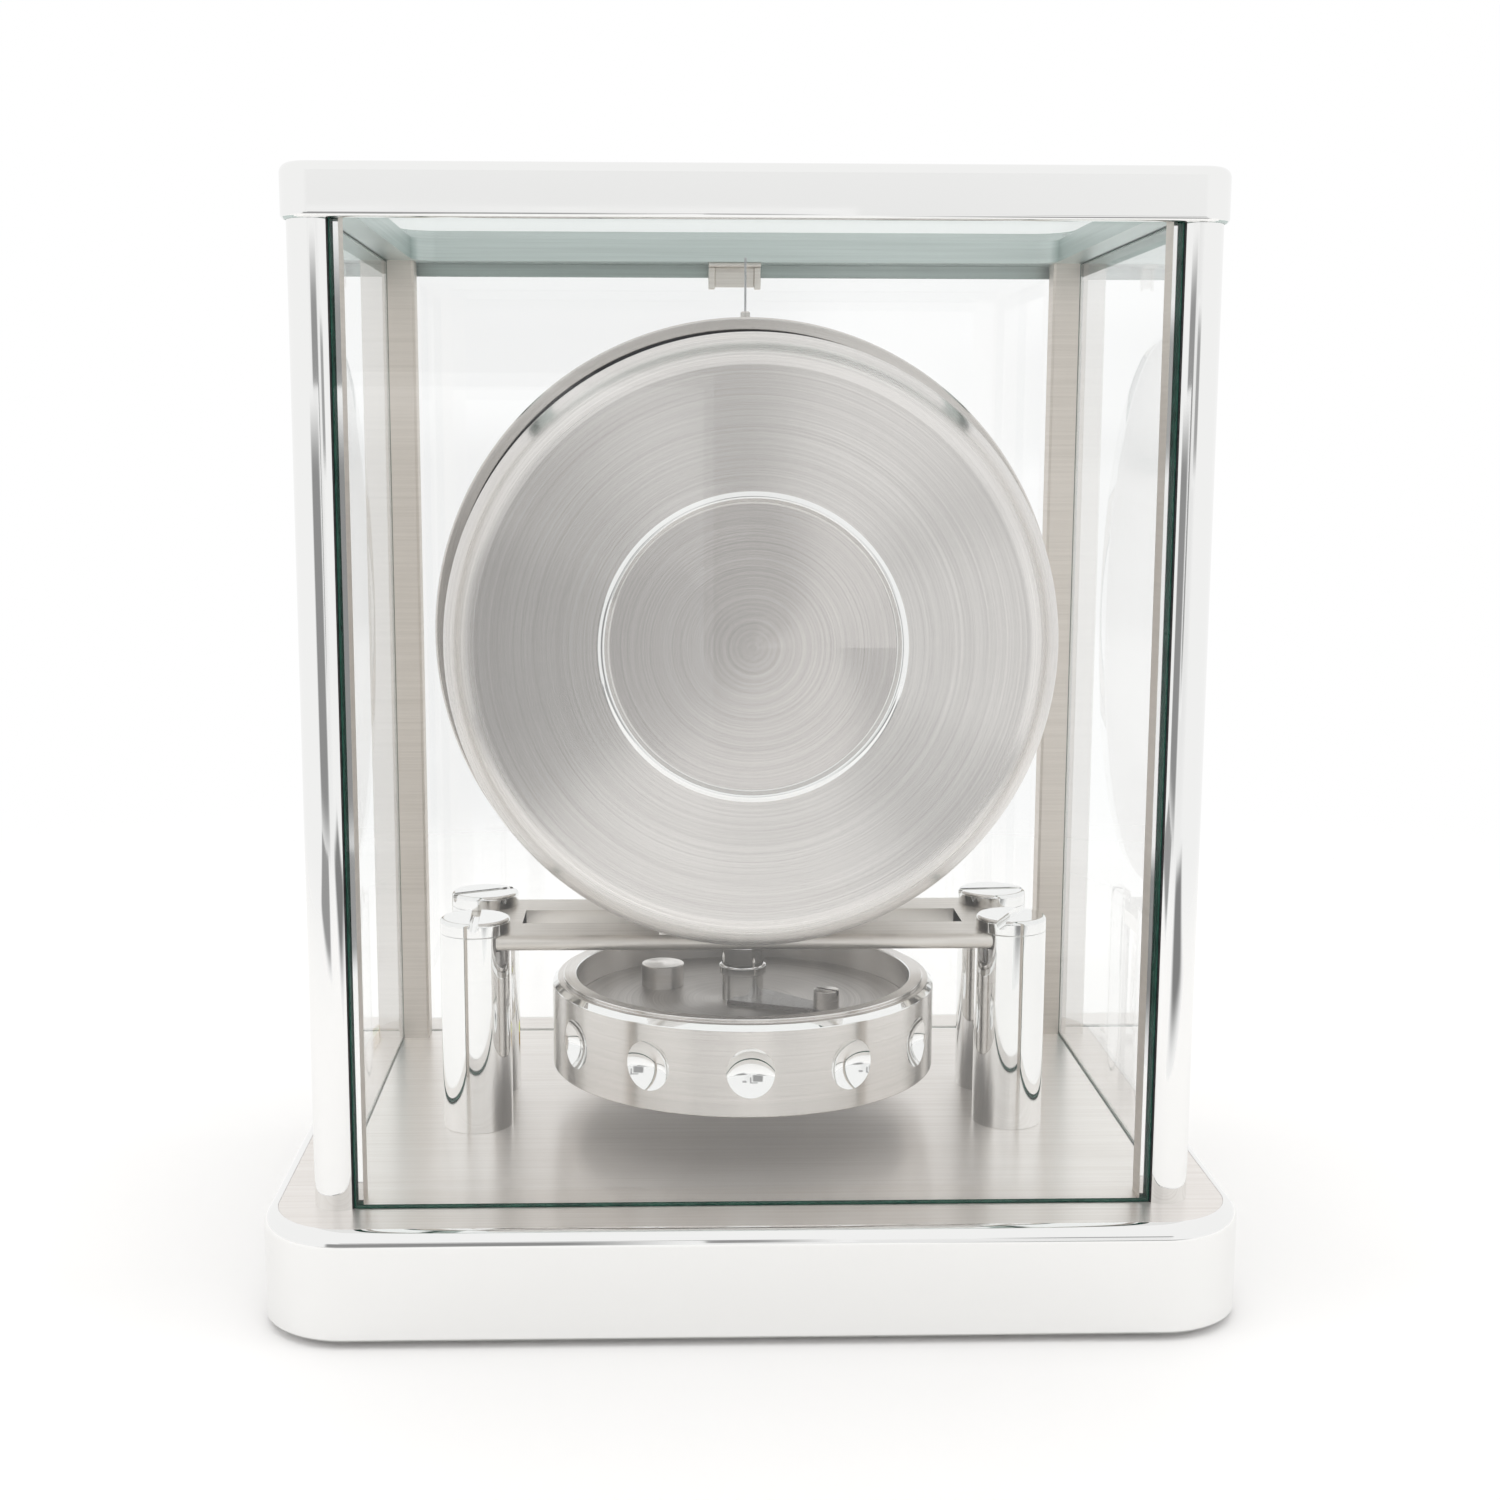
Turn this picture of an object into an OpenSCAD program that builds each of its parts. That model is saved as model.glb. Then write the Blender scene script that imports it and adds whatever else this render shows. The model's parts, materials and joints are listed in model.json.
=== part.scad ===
// Torsion clock in a glazed metal case: front (dial) faces -Y, +Z is up, origin under the base centre

/* [Base] */
// Width of the base
base_w = 208; // [200:1:216]
// Depth of the base
base_d = 163; // [158:1:170]
// Corner radius of the base in plan
base_corner = 19; // [16:0.5:24]
// Height of the upright sides of the base
side_h = 20; // [16:0.5:26]
// How far the bevelled top edge runs in
bevel_in = 3; // [2:0.25:5]
// How far the bevelled top edge rises
bevel_rise = 3.4; // [3.2:0.2:6]
// Wall of the base under the bevel
plinth_wall = 6; // [5:0.5:9]
// Thickness of the web that carries the deck
web_t = 4; // [3:0.5:6]
// Thickness of the deck plate
deck_t = 3; // [2.5:0.25:3.25]
// Flat lip of the base around the deck plate
deck_lip = 0.6; // [0.4:0.1:1.2]

/* [Feet and underside] */
// Gap between the base and the table
foot_gap = 1.5; // [1:0.25:3]
// Thickness of the bottom cover
cover_t = 1.5; // [1:0.25:2]
// How far the bottom cover sits inside the base
cover_recess = 0.7; // [0.5:0.1:1.5]
// Radius of a levelling foot
level_foot_r = 9; // [7:0.5:11]
// Thickness of a levelling foot's disc
level_foot_t = 3; // [2:0.25:3.5]
// Radius of a levelling foot's stud
level_stud_r = 3; // [2:0.25:4]
// Length of a levelling foot's stud
level_stud_l = 10; // [7:0.5:11]
// How far the levelling feet lie inside the base's sides
level_foot_in_x = 34; // [30:1:44]
// How far the levelling feet lie inside the base's front
level_foot_in_y = 23.5; // [21.5:0.5:27]
// Radius of the fixed rear foot
rear_foot_r = 9; // [6:0.5:12]
// How far the rear foot lies inside the base's back
rear_foot_in = 21.5; // [19.5:0.5:30]
// Radius of a cover screw's shank
cover_screw_r = 1.5; // [1.2:0.1:2]
// Length of a cover screw's shank
cover_screw_l = 8; // [6:0.5:10]
// How far the cover screws lie inside the base's sides
cover_screw_in_x = 59; // [54:1:66]
// How far the cover screws lie inside the base's front and back
cover_screw_in_y = 23.5; // [21.5:0.5:27]

/* [Columns and glass] */
// Radius of a corner column
column_r = 5.4; // [5:0.1:6.5]
// How far the columns' axes lie inside the base's sides
column_in_x = 16.2; // [15:0.2:20]
// How far the columns' axes lie inside the base's front and back
column_in_y = 18.4; // [17:0.1:20]
// Thickness of the glass panes
pane_t = 2.6; // [2:0.1:2.8]
// How far a pane's outer face lies inside the columns' outer line
pane_setback = 1.2; // [0.8:0.1:1.6]
// How far a pane's side edge stops short of the columns' axes
pane_edge = 3.4; // [3:0.1:4]

/* [Top frame] */
// Bottom of the top frame above the table
frame_z = 227.9; // [222:0.5:236]
// Height of the top frame
frame_h = 10.9; // [9:0.1:13]
// How far the top frame stands out past the columns
frame_over = 1.1; // [0.8:0.1:2]
// Width of the top frame's bars
frame_bar = 11.6; // [11:0.2:14]
// Depth of the recess that takes the columns and panes
frame_recess = 3.1; // [2:0.1:3.6]
// Rounding of the frame's upper edge
frame_round = 2; // [1:0.25:2.5]
// Thickness of the top pane
top_pane_t = 2.3; // [2:0.1:2.8]
// Width of the ledge under the top pane
top_ledge = 4; // [3:0.25:5]
// Width of the glass catch
catch_w = 13.6; // [11:0.2:16]
// Height that the glass catch hangs below its recess
catch_h = 6; // [5:0.25:8]

/* [Movement stand] */
// Radius of a movement post
post_r = 8.2; // [7.5:0.1:8.8]
// Sideways place of the posts
post_x = 63; // [61:0.5:66]
// Distance between the front and the rear posts
post_span = 28.1; // [26:0.1:32]
// Middle of the four posts, behind the centre
post_mid_y = -2.2; // [-4:0.1:-1]
// Height of the posts above the deck
post_h = 46.8; // [45:0.2:56]
// Thickness of the slotted caps
cap_t = 3.4; // [2.8:0.1:4.5]
// Width of the round-bottomed slots in the caps
cap_slot = 2.2; // [1.4:0.1:3]
// Radius of the caps' shanks
cap_shank_r = 2.5; // [2:0.1:3]
// Thickness of the bridge plate
bridge_t = 3.6; // [3:0.1:4.5]
// How far the bridge plate runs past the posts' axes, front and back
bridge_over = 6.3; // [5.6:0.1:7]
// How far the bridge plate runs past the posts' axes at its ends
bridge_end = 3.5; // [3:0.1:4.5]
// Width of the bridge's bars, front and back of its window
bridge_bar = 13.5; // [12:0.1:14.2]
// Distance from the posts' axes to the window's ends
window_end = 10.5; // [9.5:0.5:14]

/* [Movement ring] */
// Outer radius of the movement ring
ring_r = 70.3; // [68:0.1:71]
// Wall of the movement ring
ring_wall = 2.8; // [2:0.1:4]
// Front end of the movement ring
ring_front = -36; // [-38:0.5:-34]
// Rear end of the movement ring
ring_back = 19; // [18.5:0.25:20]
// Thickness of the front and back plates
plate_t = 2.5; // [2:0.1:3]
// Front face of the front plate
front_plate_y = -30; // [-31:0.25:-29.5]
// Distance between the two plates
plate_gap = 16.5; // [16:0.25:18]
// Distance from the back plate to the drum carrier
carrier_gap = 23.5; // [22:0.25:24]
// Thickness of the drum carrier
carrier_t = 3; // [2:0.25:3.2]
// Radius of the pillars
pillar_r = 3; // [2:0.25:4]
// Distance of the pillars from the movement's axis
pillar_at = 57; // [50:1:60]

/* [Going train] */
// Teeth of the centre and great wheels
wheel_teeth = 48; // [40:4:60]
// Teeth of the centre and escape pinions
pinion_teeth = 12; // [12:1:15]
// Module of the great wheel and centre pinion
barrel_mod = 0.9; // [0.8:0.02:0.94]
// Module of the centre wheel and escape pinion
escape_mod = 0.8; // [0.7:0.02:0.86]
// Direction of the barrel from the movement's axis
barrel_dir = 45; // [20:5:70]
// Radius of the spring barrel
barrel_r = 18; // [14:0.5:18.5]
// Length of the spring barrel
barrel_l = 8; // [6:0.25:8.5]
// Tip radius of the escape wheel
escape_r = 12; // [10:0.25:12.5]
// Teeth of the escape wheel
escape_teeth = 15; // [12:1:18]
// Distance from the escape wheel to the pallet lever's axis
pallet_drop = 19; // [18.5:0.25:22]
// Radius of the centre arbor
arbor_r = 1.5; // [1.2:0.1:1.8]
// Radius of the smaller pivots
pivot_r = 0.8; // [0.6:0.1:1]

/* [Dial and hands] */
// Wall of the bezel around the dial
bezel_wall = 3.85; // [3:0.05:5]
// Thickness of the dial
dial_t = 1.5; // [1:0.1:2]
// Distance from the front plate to the dial's back
dial_gap = 10; // [9.6:0.1:11]
// How far the bezel laps over the dial
bezel_lap = 1.6; // [1:0.1:3]
// Height of the bezel in front of the dial
bezel_lip = 2.3; // [1:0.1:3]
// Module of the cannon pinion and minute wheel
motion_mod = 0.7; // [0.6:0.02:0.8]
// How far the hour markers' outer ends lie inside the dial's edge
marker_in = 6.4; // [4.4:0.2:12]
// Length of the hour markers
marker_l = 11; // [6:0.5:14]
// Length of the hour hand
hour_hand_l = 38; // [30:0.5:44]
// Length of the minute hand
minute_hand_l = 56; // [46:0.5:60]
// Time shown at rest, in minutes past twelve
rest_minutes = 608; // [0:1:719]

/* [Balance] */
// Outer radius of the balance ring
balance_r = 45.4; // [42:0.2:46.5]
// Height of the balance ring
balance_h = 21.6; // [18:0.2:22.5]
// Gap between the deck and the balance ring
balance_gap = 13.6; // [12.5:0.2:16]
// Width of the balance ring's rim
rim_w = 5.7; // [5:0.1:8]
// Depth of the floor below the rim
floor_drop = 7.1; // [6:0.1:9]
// Thickness of the balance ring's floor
floor_t = 3; // [2:0.25:5]
// Balance axis behind the centre
balance_y = 4.36; // [3:0.02:6]
// Number of dimples round the ring
dimples = 12; // [8:1:14]
// Diameter of a dimple
dimple_d = 11.4; // [8:0.2:13]
// Depth of a dimple
dimple_depth = 2.2; // [1.2:0.1:3]
// Radius of the balance's stem
stem_r = 5; // [4.5:0.1:6]
// Distance of the timing screw and weight from the balance axis
timing_at = 23; // [20:0.25:26]
// Direction of the timing screw from the balance axis
timing_dir = 146; // [130:1:160]
// Radius of the suspension wire
wire_r = 0.25; // [0.15:0.05:0.3]
// Length of the wire's free tail above the movement ring
wire_tail = 14.1; // [4:0.1:14.8]

/* [Bellows drum] */
// Outer radius of the drum
drum_r = 65.7; // [62:0.1:68]
// Rear face of the drum, behind the centre
drum_face = 51.9; // [51.5:0.1:54]
// Front end of the drum, behind the centre
drum_front = 21; // [20.5:0.1:21.5]
// Rounding of the drum's rear edge
drum_round = 7; // [4:0.25:9]
// Wall of the drum
drum_wall = 1.5; // [1:0.1:1.8]
// Radius of the round recess in the rear face
recess_r = 30.8; // [24:0.2:36]
// Depth of the round recess
recess_depth = 1.2; // [0.6:0.1:1.6]
// Outer radius of the bellows
bellows_r = 56; // [50:0.5:57]
// Depth of the bellows' folds
fold_depth = 8; // [5:0.5:10]
// Number of folds
folds = 4; // [3:1:5]
// Wall of the bellows
bellows_wall = 0.6; // [0.4:0.1:0.9]
// Length of the coil spring in front of the pressure plate
spring_l = 10; // [8:0.25:11]

/* [Lock and level] */
// Sideways place of the lock lever's pivot
lock_x = -30; // [-34:0.5:-26]
// How far the lock and level lie inside the base's front
lock_in = 28.5; // [26.5:0.25:30]
// Length of the lock lever
lock_l = 38; // [30:0.5:42]
// Radius of the spirit level
level_r = 6.5; // [5:0.25:8]
// Sideways place of the spirit level
level_x = 36; // [30:0.5:42]

/* [Clearances] */
// Gap between pieces that are only set together
set_gap = 0.05; // [0.02:0.01:0.08]
// Radial clearance of a pivot in its hole
run_gap = 0.05; // [0.03:0.01:0.08]
// Gap around the front pane and other pieces that swing free
free_gap = 0.3; // [0.2:0.05:0.4]

/* [Hidden] */
$fn = 96;
eps = 0.01;

// Base heights
side_top = foot_gap + side_h;
deck_top = side_top + bevel_rise;
deck_bottom = deck_top - deck_t;
web_bottom = deck_bottom - web_t;
cover_bottom = foot_gap + cover_recess;
cover_top = cover_bottom + cover_t;
recess_in = bevel_in + deck_lip;
level_boss_r = level_stud_r + 3;
cover_boss_r = cover_screw_r + 2.5;
cover_head_r = 2 * cover_screw_r;
cover_head_t = 1;
driver_slot = 0.8;
screw_slack = 0.1;
hole_spare = 1;
lower_edge = 0.6;
level_foot_x = base_w / 2 - level_foot_in_x;
level_foot_y = base_d / 2 - level_foot_in_y;
rear_foot_y = base_d / 2 - rear_foot_in;
cover_screw_x = base_w / 2 - cover_screw_in_x;
cover_screw_y = base_d / 2 - cover_screw_in_y;
lock_y = base_d / 2 - lock_in;
lock_stud_r = 2.5;
lock_stud_h = 2.7;
lever_t = 2;
lever_w = 5;
knob_r = 2.5;
knob_h = 5;
level_h = 3.5;
level_floor = 1.5;
level_rim = 1;

// Case screws hold the columns and posts down from below
case_screw_r = 2;
case_head_r = 3.8;
case_head_t = 3;
case_screw_bite = 10;
case_hole_r = case_screw_r + 2 * screw_slack;

// Glass and frame lines
column_x = base_w / 2 - column_in_x;
column_y = base_d / 2 - column_in_y;
column_out_x = column_x + column_r;
column_out_y = column_y + column_r;
pane_out_x = column_out_x - pane_setback;
pane_out_y = column_out_y - pane_setback;
pane_half_w = column_x - pane_edge;
pane_half_d = column_y - pane_edge;
frame_w = 2 * (column_out_x + frame_over);
frame_d = 2 * (column_out_y + frame_over);
frame_top = frame_z + frame_h;
frame_ceiling = frame_z + frame_recess;
frame_corner = column_r + set_gap + frame_over;
frame_under_round = 1;
ledge_top = frame_top - top_pane_t;
open_w = frame_w - 2 * frame_bar;
open_d = frame_d - 2 * frame_bar;
open_corner = 6;
front_axis_y = -(pane_out_y - pane_t / 2);
front_top = frame_z - free_gap;
groove_r = pane_t / 2 + 2 * run_gap;

// Movement stand
post_top = deck_top + post_h;
post_front_y = post_mid_y - post_span / 2;
post_rear_y = post_mid_y + post_span / 2;
cap_slot_depth = 0.6 * cap_t;
cap_angles = [5, 64, 28, 92];
cap_shank_l = 12;
bridge_bottom = post_top - bridge_t;
bridge_front = post_front_y - bridge_over;
bridge_back = post_rear_y + bridge_over;
bridge_half = post_x + bridge_end;
window_half = post_x - window_end;
stem_hole_r = 3.5;
saddle_in = 8;
saddle_w = 12;
saddle_edge = 1.5;

// Movement
axis_z = post_top + ring_r;
ring_in = ring_r - ring_wall;
plate_r = ring_in - set_gap;
front_back = front_plate_y + plate_t;
back_front = front_back + plate_gap;
back_back = back_front + plate_t;
carrier_front = back_back + carrier_gap;
carrier_back = carrier_front + carrier_t;
carrier_hole = 20;

// Train: distances, places along the arbors and working sizes
barrel_at = barrel_mod * (wheel_teeth + pinion_teeth) / 2;
escape_at = escape_mod * (wheel_teeth + pinion_teeth) / 2;
barrel_x = barrel_at * cos(barrel_dir);
barrel_z = axis_z + barrel_at * sin(barrel_dir);
escape_z = axis_z - escape_at;
pallet_z = escape_z - pallet_drop;
wheel_t = 1.2;
great_y = front_back + 2.3;
centre_y = back_front - 2.8;
scape_y = front_back + 6.7;
end_shake = 0.3;
barrel_bore = 2;
barrel_wall = 1;
spring_t = 0.8;
spring_pitch = 2;

// Motion work: the second pair's module gives it the same centre distance as the first pair
cannon_teeth = 12;
minute_teeth = 36;
minute_pinion_teeth = 10;
hour_teeth = 40;
motion_at = motion_mod * (cannon_teeth + minute_teeth) / 2;
hour_mod = motion_mod * (cannon_teeth + minute_teeth) / (minute_pinion_teeth + hour_teeth);
motion_dir = 205;
stud_r = 1.2;
cannon_y = front_plate_y - 1;
cannon_l = 2;
cannon_r = arbor_r + 1.3;
hour_pipe_r = cannon_r + 1.1;
minute_wheel_y = cannon_y - 0.4;
hour_wheel_y = cannon_y - 4;
minute_pinion_l = 4;
dial_back = front_plate_y - dial_gap;
dial_front = dial_back - dial_t;
marker_t = 0.7;
hand_t = 0.8;
hour_hand_y = dial_front - marker_t - 0.4;
minute_hand_y = hour_hand_y - hand_t - 1.6;
nut_l = 2.2;
bezel_back = ring_front;
dial_r = ring_r - bezel_wall - set_gap;
dial_foot_in = 16.4;
dial_foot_at = dial_r - dial_foot_in;
marker_r = dial_r - marker_in;
dial_foot_r = 1.5;

// Balance
balance_bottom = deck_top + balance_gap;
balance_top = balance_bottom + balance_h;
floor_top = balance_top - floor_drop;
rim_in = balance_r - rim_w;
rim_step = 0.8;
rim_bevel = 1.2;
dimple_z = balance_bottom + 0.47 * balance_h;
dimple_sphere = (dimple_d * dimple_d / 4 + dimple_depth * dimple_depth) / (2 * dimple_depth);
stem_top = bridge_bottom - 1.5;
flange_t = 2;
spigot_r = 3;
neck_r = 2;
neck_top = post_top + 6.3;
roller_r = 6.5;
roller_t = 1.5;
impulse_at = 5;
impulse_r = 0.5;
wire_bore = wire_r + 0.2;
wire_bite = 6;
chuck_r = 3;
ferrule_r = 1.1;
ferrule_l = 2.2;
timing_r = 3;
weight_r = 5.2;
arm_t = 1.2;

// Bellows drum
face_step = 1.6;
lid_t = 1.5;
lid_y = drum_front + 0.5;
drum_in = drum_r - drum_wall;
bellows_end = drum_face - recess_depth - drum_wall;
pressure_t = 2.5;
pressure_y = lid_y + lid_t + spring_l;
pressure_rod_r = 4;
pressure_rim = 1;
rod_hole_r = 1.5 * pressure_rod_r;
spring_wire = 1.2;
coil_r = 28;
coil_turns = 3;

// Points of a quarter round of radius r, from the side (inset 0) up to the top
function quarter(r, z, steps = 5) =
    [for (i = [0 : steps]) [r - r * cos(90 * i / steps), z + r * sin(90 * i / steps)]];

// Turns a point list about the origin
function polar(r, a) = [r * cos(a), r * sin(a)];

// Involute helpers for the gear teeth
pressure = 20;
tooth_share = 0.42;
function roll(base, r) = sqrt(max(0, r * r / (base * base) - 1)) * 180 / PI - acos(min(1, base / r));
function half_tooth(teeth, mod, r) =
    let (pitch = mod * teeth / 2, base = pitch * cos(pressure))
    tooth_share * 180 / teeth + roll(base, pitch) - roll(base, max(base, r));
function gear_points(teeth, mod) =
    let (pitch = mod * teeth / 2, radii = [for (k = [-1.15, -0.3, 0.3, 0.8]) pitch + k * mod])
    [for (i = [0 : teeth - 1], side = [-1, 1], k = [0 : 3])
        let (r = radii[side < 0 ? k : 3 - k])
        polar(r, 360 * i / teeth + side * half_tooth(teeth, mod, r))];

// A plate with round corners in plan
module round_slab(w, d, h, r) {
    translate([-w / 2 + r, -d / 2, 0]) cube([w - 2 * r, d, h]);
    translate([-w / 2, -d / 2 + r, 0]) cube([w, d - 2 * r, h]);
    for (x = [-1, 1], y = [-1, 1])
        translate([x * (w / 2 - r), y * (d / 2 - r), 0])
            cylinder(r = r, h = h);
}

// A plate with round corners whose edge follows a profile of [inset, height] points, bottom to top
module profiled_slab(w, d, r, profile) {
    last = len(profile) - 1;
    for (x = [-1, 1], y = [-1, 1])
        translate([x * (w / 2 - r), y * (d / 2 - r), 0])
            rotate_extrude()
                polygon(concat([for (p = profile) [r - p[0], p[1]]],
                    [[0, profile[last][1]], [0, profile[0][1]]]));
    profiled_bar(w, d - 2 * r, profile);
    rotate([0, 0, 90]) profiled_bar(d, w - 2 * r, profile);
}

// A straight bar with that edge profile on both of its long sides
module profiled_bar(w, l, profile) {
    last = len(profile) - 1;
    rotate([90, 0, 0])
        linear_extrude(height = l, center = true)
            polygon(concat([for (p = profile) [w / 2 - p[0], p[1]]],
                [for (i = [0 : last]) [profile[last - i][0] - w / 2, profile[last - i][1]]]));
}

// Puts children that grow along +Z onto an axis along -Y (towards the dial)
module on_axis(x, z, y) {
    translate([x, y, z]) rotate([90, 0, 0]) children();
}

// A ring round the movement's axis from y0 back to y1
module turned_ring(y0, y1, r_out, r_in) {
    on_axis(0, axis_z, y1)
        difference() {
            cylinder(r = r_out, h = y1 - y0);
            translate([0, 0, -1]) cylinder(r = r_in, h = y1 - y0 + 2);
        }
}

// A toothed wheel with a bore, its first tooth turned to the given direction
module gear(teeth, mod, h, bore, turn = 0) {
    difference() {
        rotate([0, 0, turn]) linear_extrude(height = h) polygon(gear_points(teeth, mod));
        translate([0, 0, -1]) cylinder(r = bore, h = h + 2);
    }
}

// Places of the four columns and of the four posts
module at_columns() {
    for (x = [-1, 1], y = [-1, 1])
        translate([x * column_x, y * column_y, 0]) children();
}

module at_posts() {
    for (x = [-1, 1], y = [post_front_y, post_rear_y])
        translate([x * post_x, y, 0]) children();
}

module at_level_feet() {
    for (x = [-1, 1])
        translate([x * level_foot_x, -level_foot_y, 0]) children();
}

module at_cover_screws() {
    for (x = [-1, 1], y = [-1, 1])
        translate([x * cover_screw_x, y * cover_screw_y, 0]) children();
}

// Base
module base_plinth() {
    bevel = [for (i = [1 : 4]) [bevel_in * (1 - cos(22.5 * i)), side_top + bevel_rise * sin(22.5 * i)]];
    color("gainsboro")
    difference() {
        union() {
            difference() {
                profiled_slab(base_w, base_d, base_corner,
                    concat([[lower_edge, foot_gap], [0, foot_gap + lower_edge], [0, side_top]], bevel));
                translate([0, 0, deck_bottom])
                    round_slab(base_w - 2 * recess_in, base_d - 2 * recess_in, deck_t + 1,
                        base_corner - recess_in);
                translate([0, 0, foot_gap - 1])
                    round_slab(base_w - 2 * plinth_wall, base_d - 2 * plinth_wall, web_bottom - foot_gap + 1,
                        base_corner - plinth_wall);
            }
            at_level_feet()
                translate([0, 0, cover_top]) cylinder(r = level_boss_r, h = deck_bottom - cover_top);
            at_cover_screws()
                translate([0, 0, cover_top]) cylinder(r = cover_boss_r, h = deck_bottom - cover_top);
        }
        at_level_feet()
            translate([0, 0, foot_gap])
                cylinder(r = level_stud_r + run_gap, h = level_foot_t + level_stud_l + hole_spare - foot_gap);
        at_cover_screws()
            translate([0, 0, foot_gap])
                cylinder(r = cover_screw_r + set_gap, h = cover_recess + cover_screw_l + hole_spare);
        at_columns() translate([0, 0, foot_gap]) cylinder(r = case_hole_r, h = deck_top);
        at_posts() translate([0, 0, foot_gap]) cylinder(r = case_hole_r, h = deck_top);
    }
}

module deck_plate() {
    deck_in = recess_in + set_gap;
    stud_head_r = lock_stud_r + 1.5 * lever_t / 2;
    color("silver") {
        difference() {
            union() {
                translate([0, 0, deck_bottom])
                    round_slab(base_w - 2 * deck_in, base_d - 2 * deck_in, deck_t, base_corner - deck_in);
                translate([lock_x, -lock_y, deck_top - 1])
                    cylinder(r = lock_stud_r, h = 1 + lock_stud_h + eps);
                translate([lock_x, -lock_y, deck_top + lock_stud_h])
                    cylinder(r = stud_head_r, h = 0.6 * lever_t);
            }
            at_columns() translate([0, 0, deck_bottom - 1]) cylinder(r = case_hole_r, h = deck_t + 2);
            at_posts() translate([0, 0, deck_bottom - 1]) cylinder(r = case_hole_r, h = deck_t + 2);
            translate([-pane_half_w, front_axis_y, deck_top])
                rotate([0, 90, 0]) cylinder(r = groove_r, h = 2 * pane_half_w);
        }
    }
}

module bottom_cover() {
    cover_in = plinth_wall + free_gap;
    color("dimgray")
    difference() {
        translate([0, 0, cover_bottom])
            round_slab(base_w - 2 * cover_in, base_d - 2 * cover_in, cover_t, base_corner - cover_in);
        at_level_feet() translate([0, 0, cover_bottom - 1]) cylinder(r = level_foot_r + 1, h = cover_t + 2);
        at_cover_screws()
            translate([0, 0, cover_bottom - 1]) cylinder(r = cover_screw_r + screw_slack, h = cover_t + 2);
    }
}

// The screws in the base: four hold the cover, eight come up into the columns and posts
module base_screws() {
    color("lightgray") {
        at_cover_screws() cover_screw();
        at_columns() case_screw();
        at_posts() case_screw();
    }
}

module cover_screw() {
    translate([0, 0, cover_bottom]) {
        difference() {
            translate([0, 0, -cover_head_t]) cylinder(r = cover_head_r, h = cover_head_t);
            translate([-cover_head_r, -driver_slot / 2, -cover_head_t - eps])
                cube([2 * cover_head_r, driver_slot, cover_head_t / 2]);
        }
        translate([0, 0, -eps]) cylinder(r = cover_screw_r, h = cover_screw_l);
    }
}

module rear_foot() {
    color("#333333") translate([0, rear_foot_y, 0]) cylinder(r = rear_foot_r, h = cover_bottom);
}

// A levelling foot: a disc with finger notches on a stud
module levelling_foot(side) {
    notches = 12;
    notch_r = 0.4 * level_foot_t;
    color("lightgray")
    translate([side * level_foot_x, -level_foot_y, 0]) {
        difference() {
            cylinder(r = level_foot_r, h = level_foot_t);
            for (i = [0 : notches - 1])
                rotate([0, 0, 360 * i / notches])
                    translate([level_foot_r + notch_r / 2, 0, -1])
                        cylinder(r = notch_r, h = level_foot_t + 2);
        }
        translate([0, 0, level_foot_t - eps]) cylinder(r = level_stud_r, h = level_stud_l + eps);
    }
}

module levelling_foot_left() { levelling_foot(-1); }
module levelling_foot_right() { levelling_foot(1); }

// A corner column with the rebates that take the front or rear pane and the side pane
module column(sx, sy) {
    slack = sy < 0 ? free_gap : set_gap;
    color("whitesmoke")
    difference() {
        translate([sx * column_x, sy * column_y, deck_top])
            cylinder(r = column_r, h = frame_ceiling - deck_top);
        scale_side(sx, sy) {
            translate([0, pane_out_y - pane_t - slack, deck_top - 1])
                cube([pane_half_w + set_gap, 2 * column_r, frame_ceiling - deck_top + 2]);
            translate([pane_out_x - pane_t - set_gap, 0, deck_top - 1])
                cube([2 * column_r, pane_half_d + set_gap, frame_ceiling - deck_top + 2]);
        }
        translate([sx * column_x, sy * column_y, deck_top - 1])
            cylinder(r = case_screw_r + set_gap, h = case_screw_bite + 2);
    }
}

// Mirrors children from the +X +Y corner to another corner
module scale_side(sx, sy) {
    mirror([sx < 0 ? 1 : 0, 0, 0]) mirror([0, sy < 0 ? 1 : 0, 0]) children();
}

module column_front_left() { column(-1, -1); }
module column_front_right() { column(1, -1); }
module column_rear_left() { column(-1, 1); }
module column_rear_right() { column(1, 1); }

module case_screw() {
    translate([0, 0, web_bottom - case_head_t]) cylinder(r = case_head_r, h = case_head_t);
    translate([0, 0, web_bottom - eps])
        cylinder(r = case_screw_r, h = deck_top - web_bottom + case_screw_bite);
}

// Top
module top_frame() {
    profile = concat([[frame_under_round, frame_z], [0, frame_z + frame_under_round]],
        quarter(frame_round, frame_top - frame_round));
    hollow_corner = column_r + set_gap;
    color("whitesmoke")
    difference() {
        profiled_slab(frame_w, frame_d, frame_corner, profile);
        translate([0, 0, frame_z - 1])
            round_slab(frame_w - 2 * frame_over + 2 * set_gap, frame_d - 2 * frame_over + 2 * set_gap,
                frame_recess + 1, hollow_corner);
        translate([0, 0, frame_z]) round_slab(open_w, open_d, frame_h + 1, open_corner);
        translate([0, 0, ledge_top])
            round_slab(open_w + 2 * top_ledge, open_d + 2 * top_ledge, top_pane_t + 1,
                open_corner + top_ledge);
    }
}

module top_glass() {
    color("azure", 0.4)
    translate([0, 0, ledge_top])
        round_slab(open_w + 2 * (top_ledge - set_gap), open_d + 2 * (top_ledge - set_gap), top_pane_t,
            open_corner + top_ledge - set_gap);
}

module rear_glass() {
    color("azure", 0.4)
    translate([-pane_half_w, pane_out_y - pane_t, deck_top])
        cube([2 * pane_half_w, pane_t, frame_ceiling - set_gap - deck_top]);
}

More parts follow.
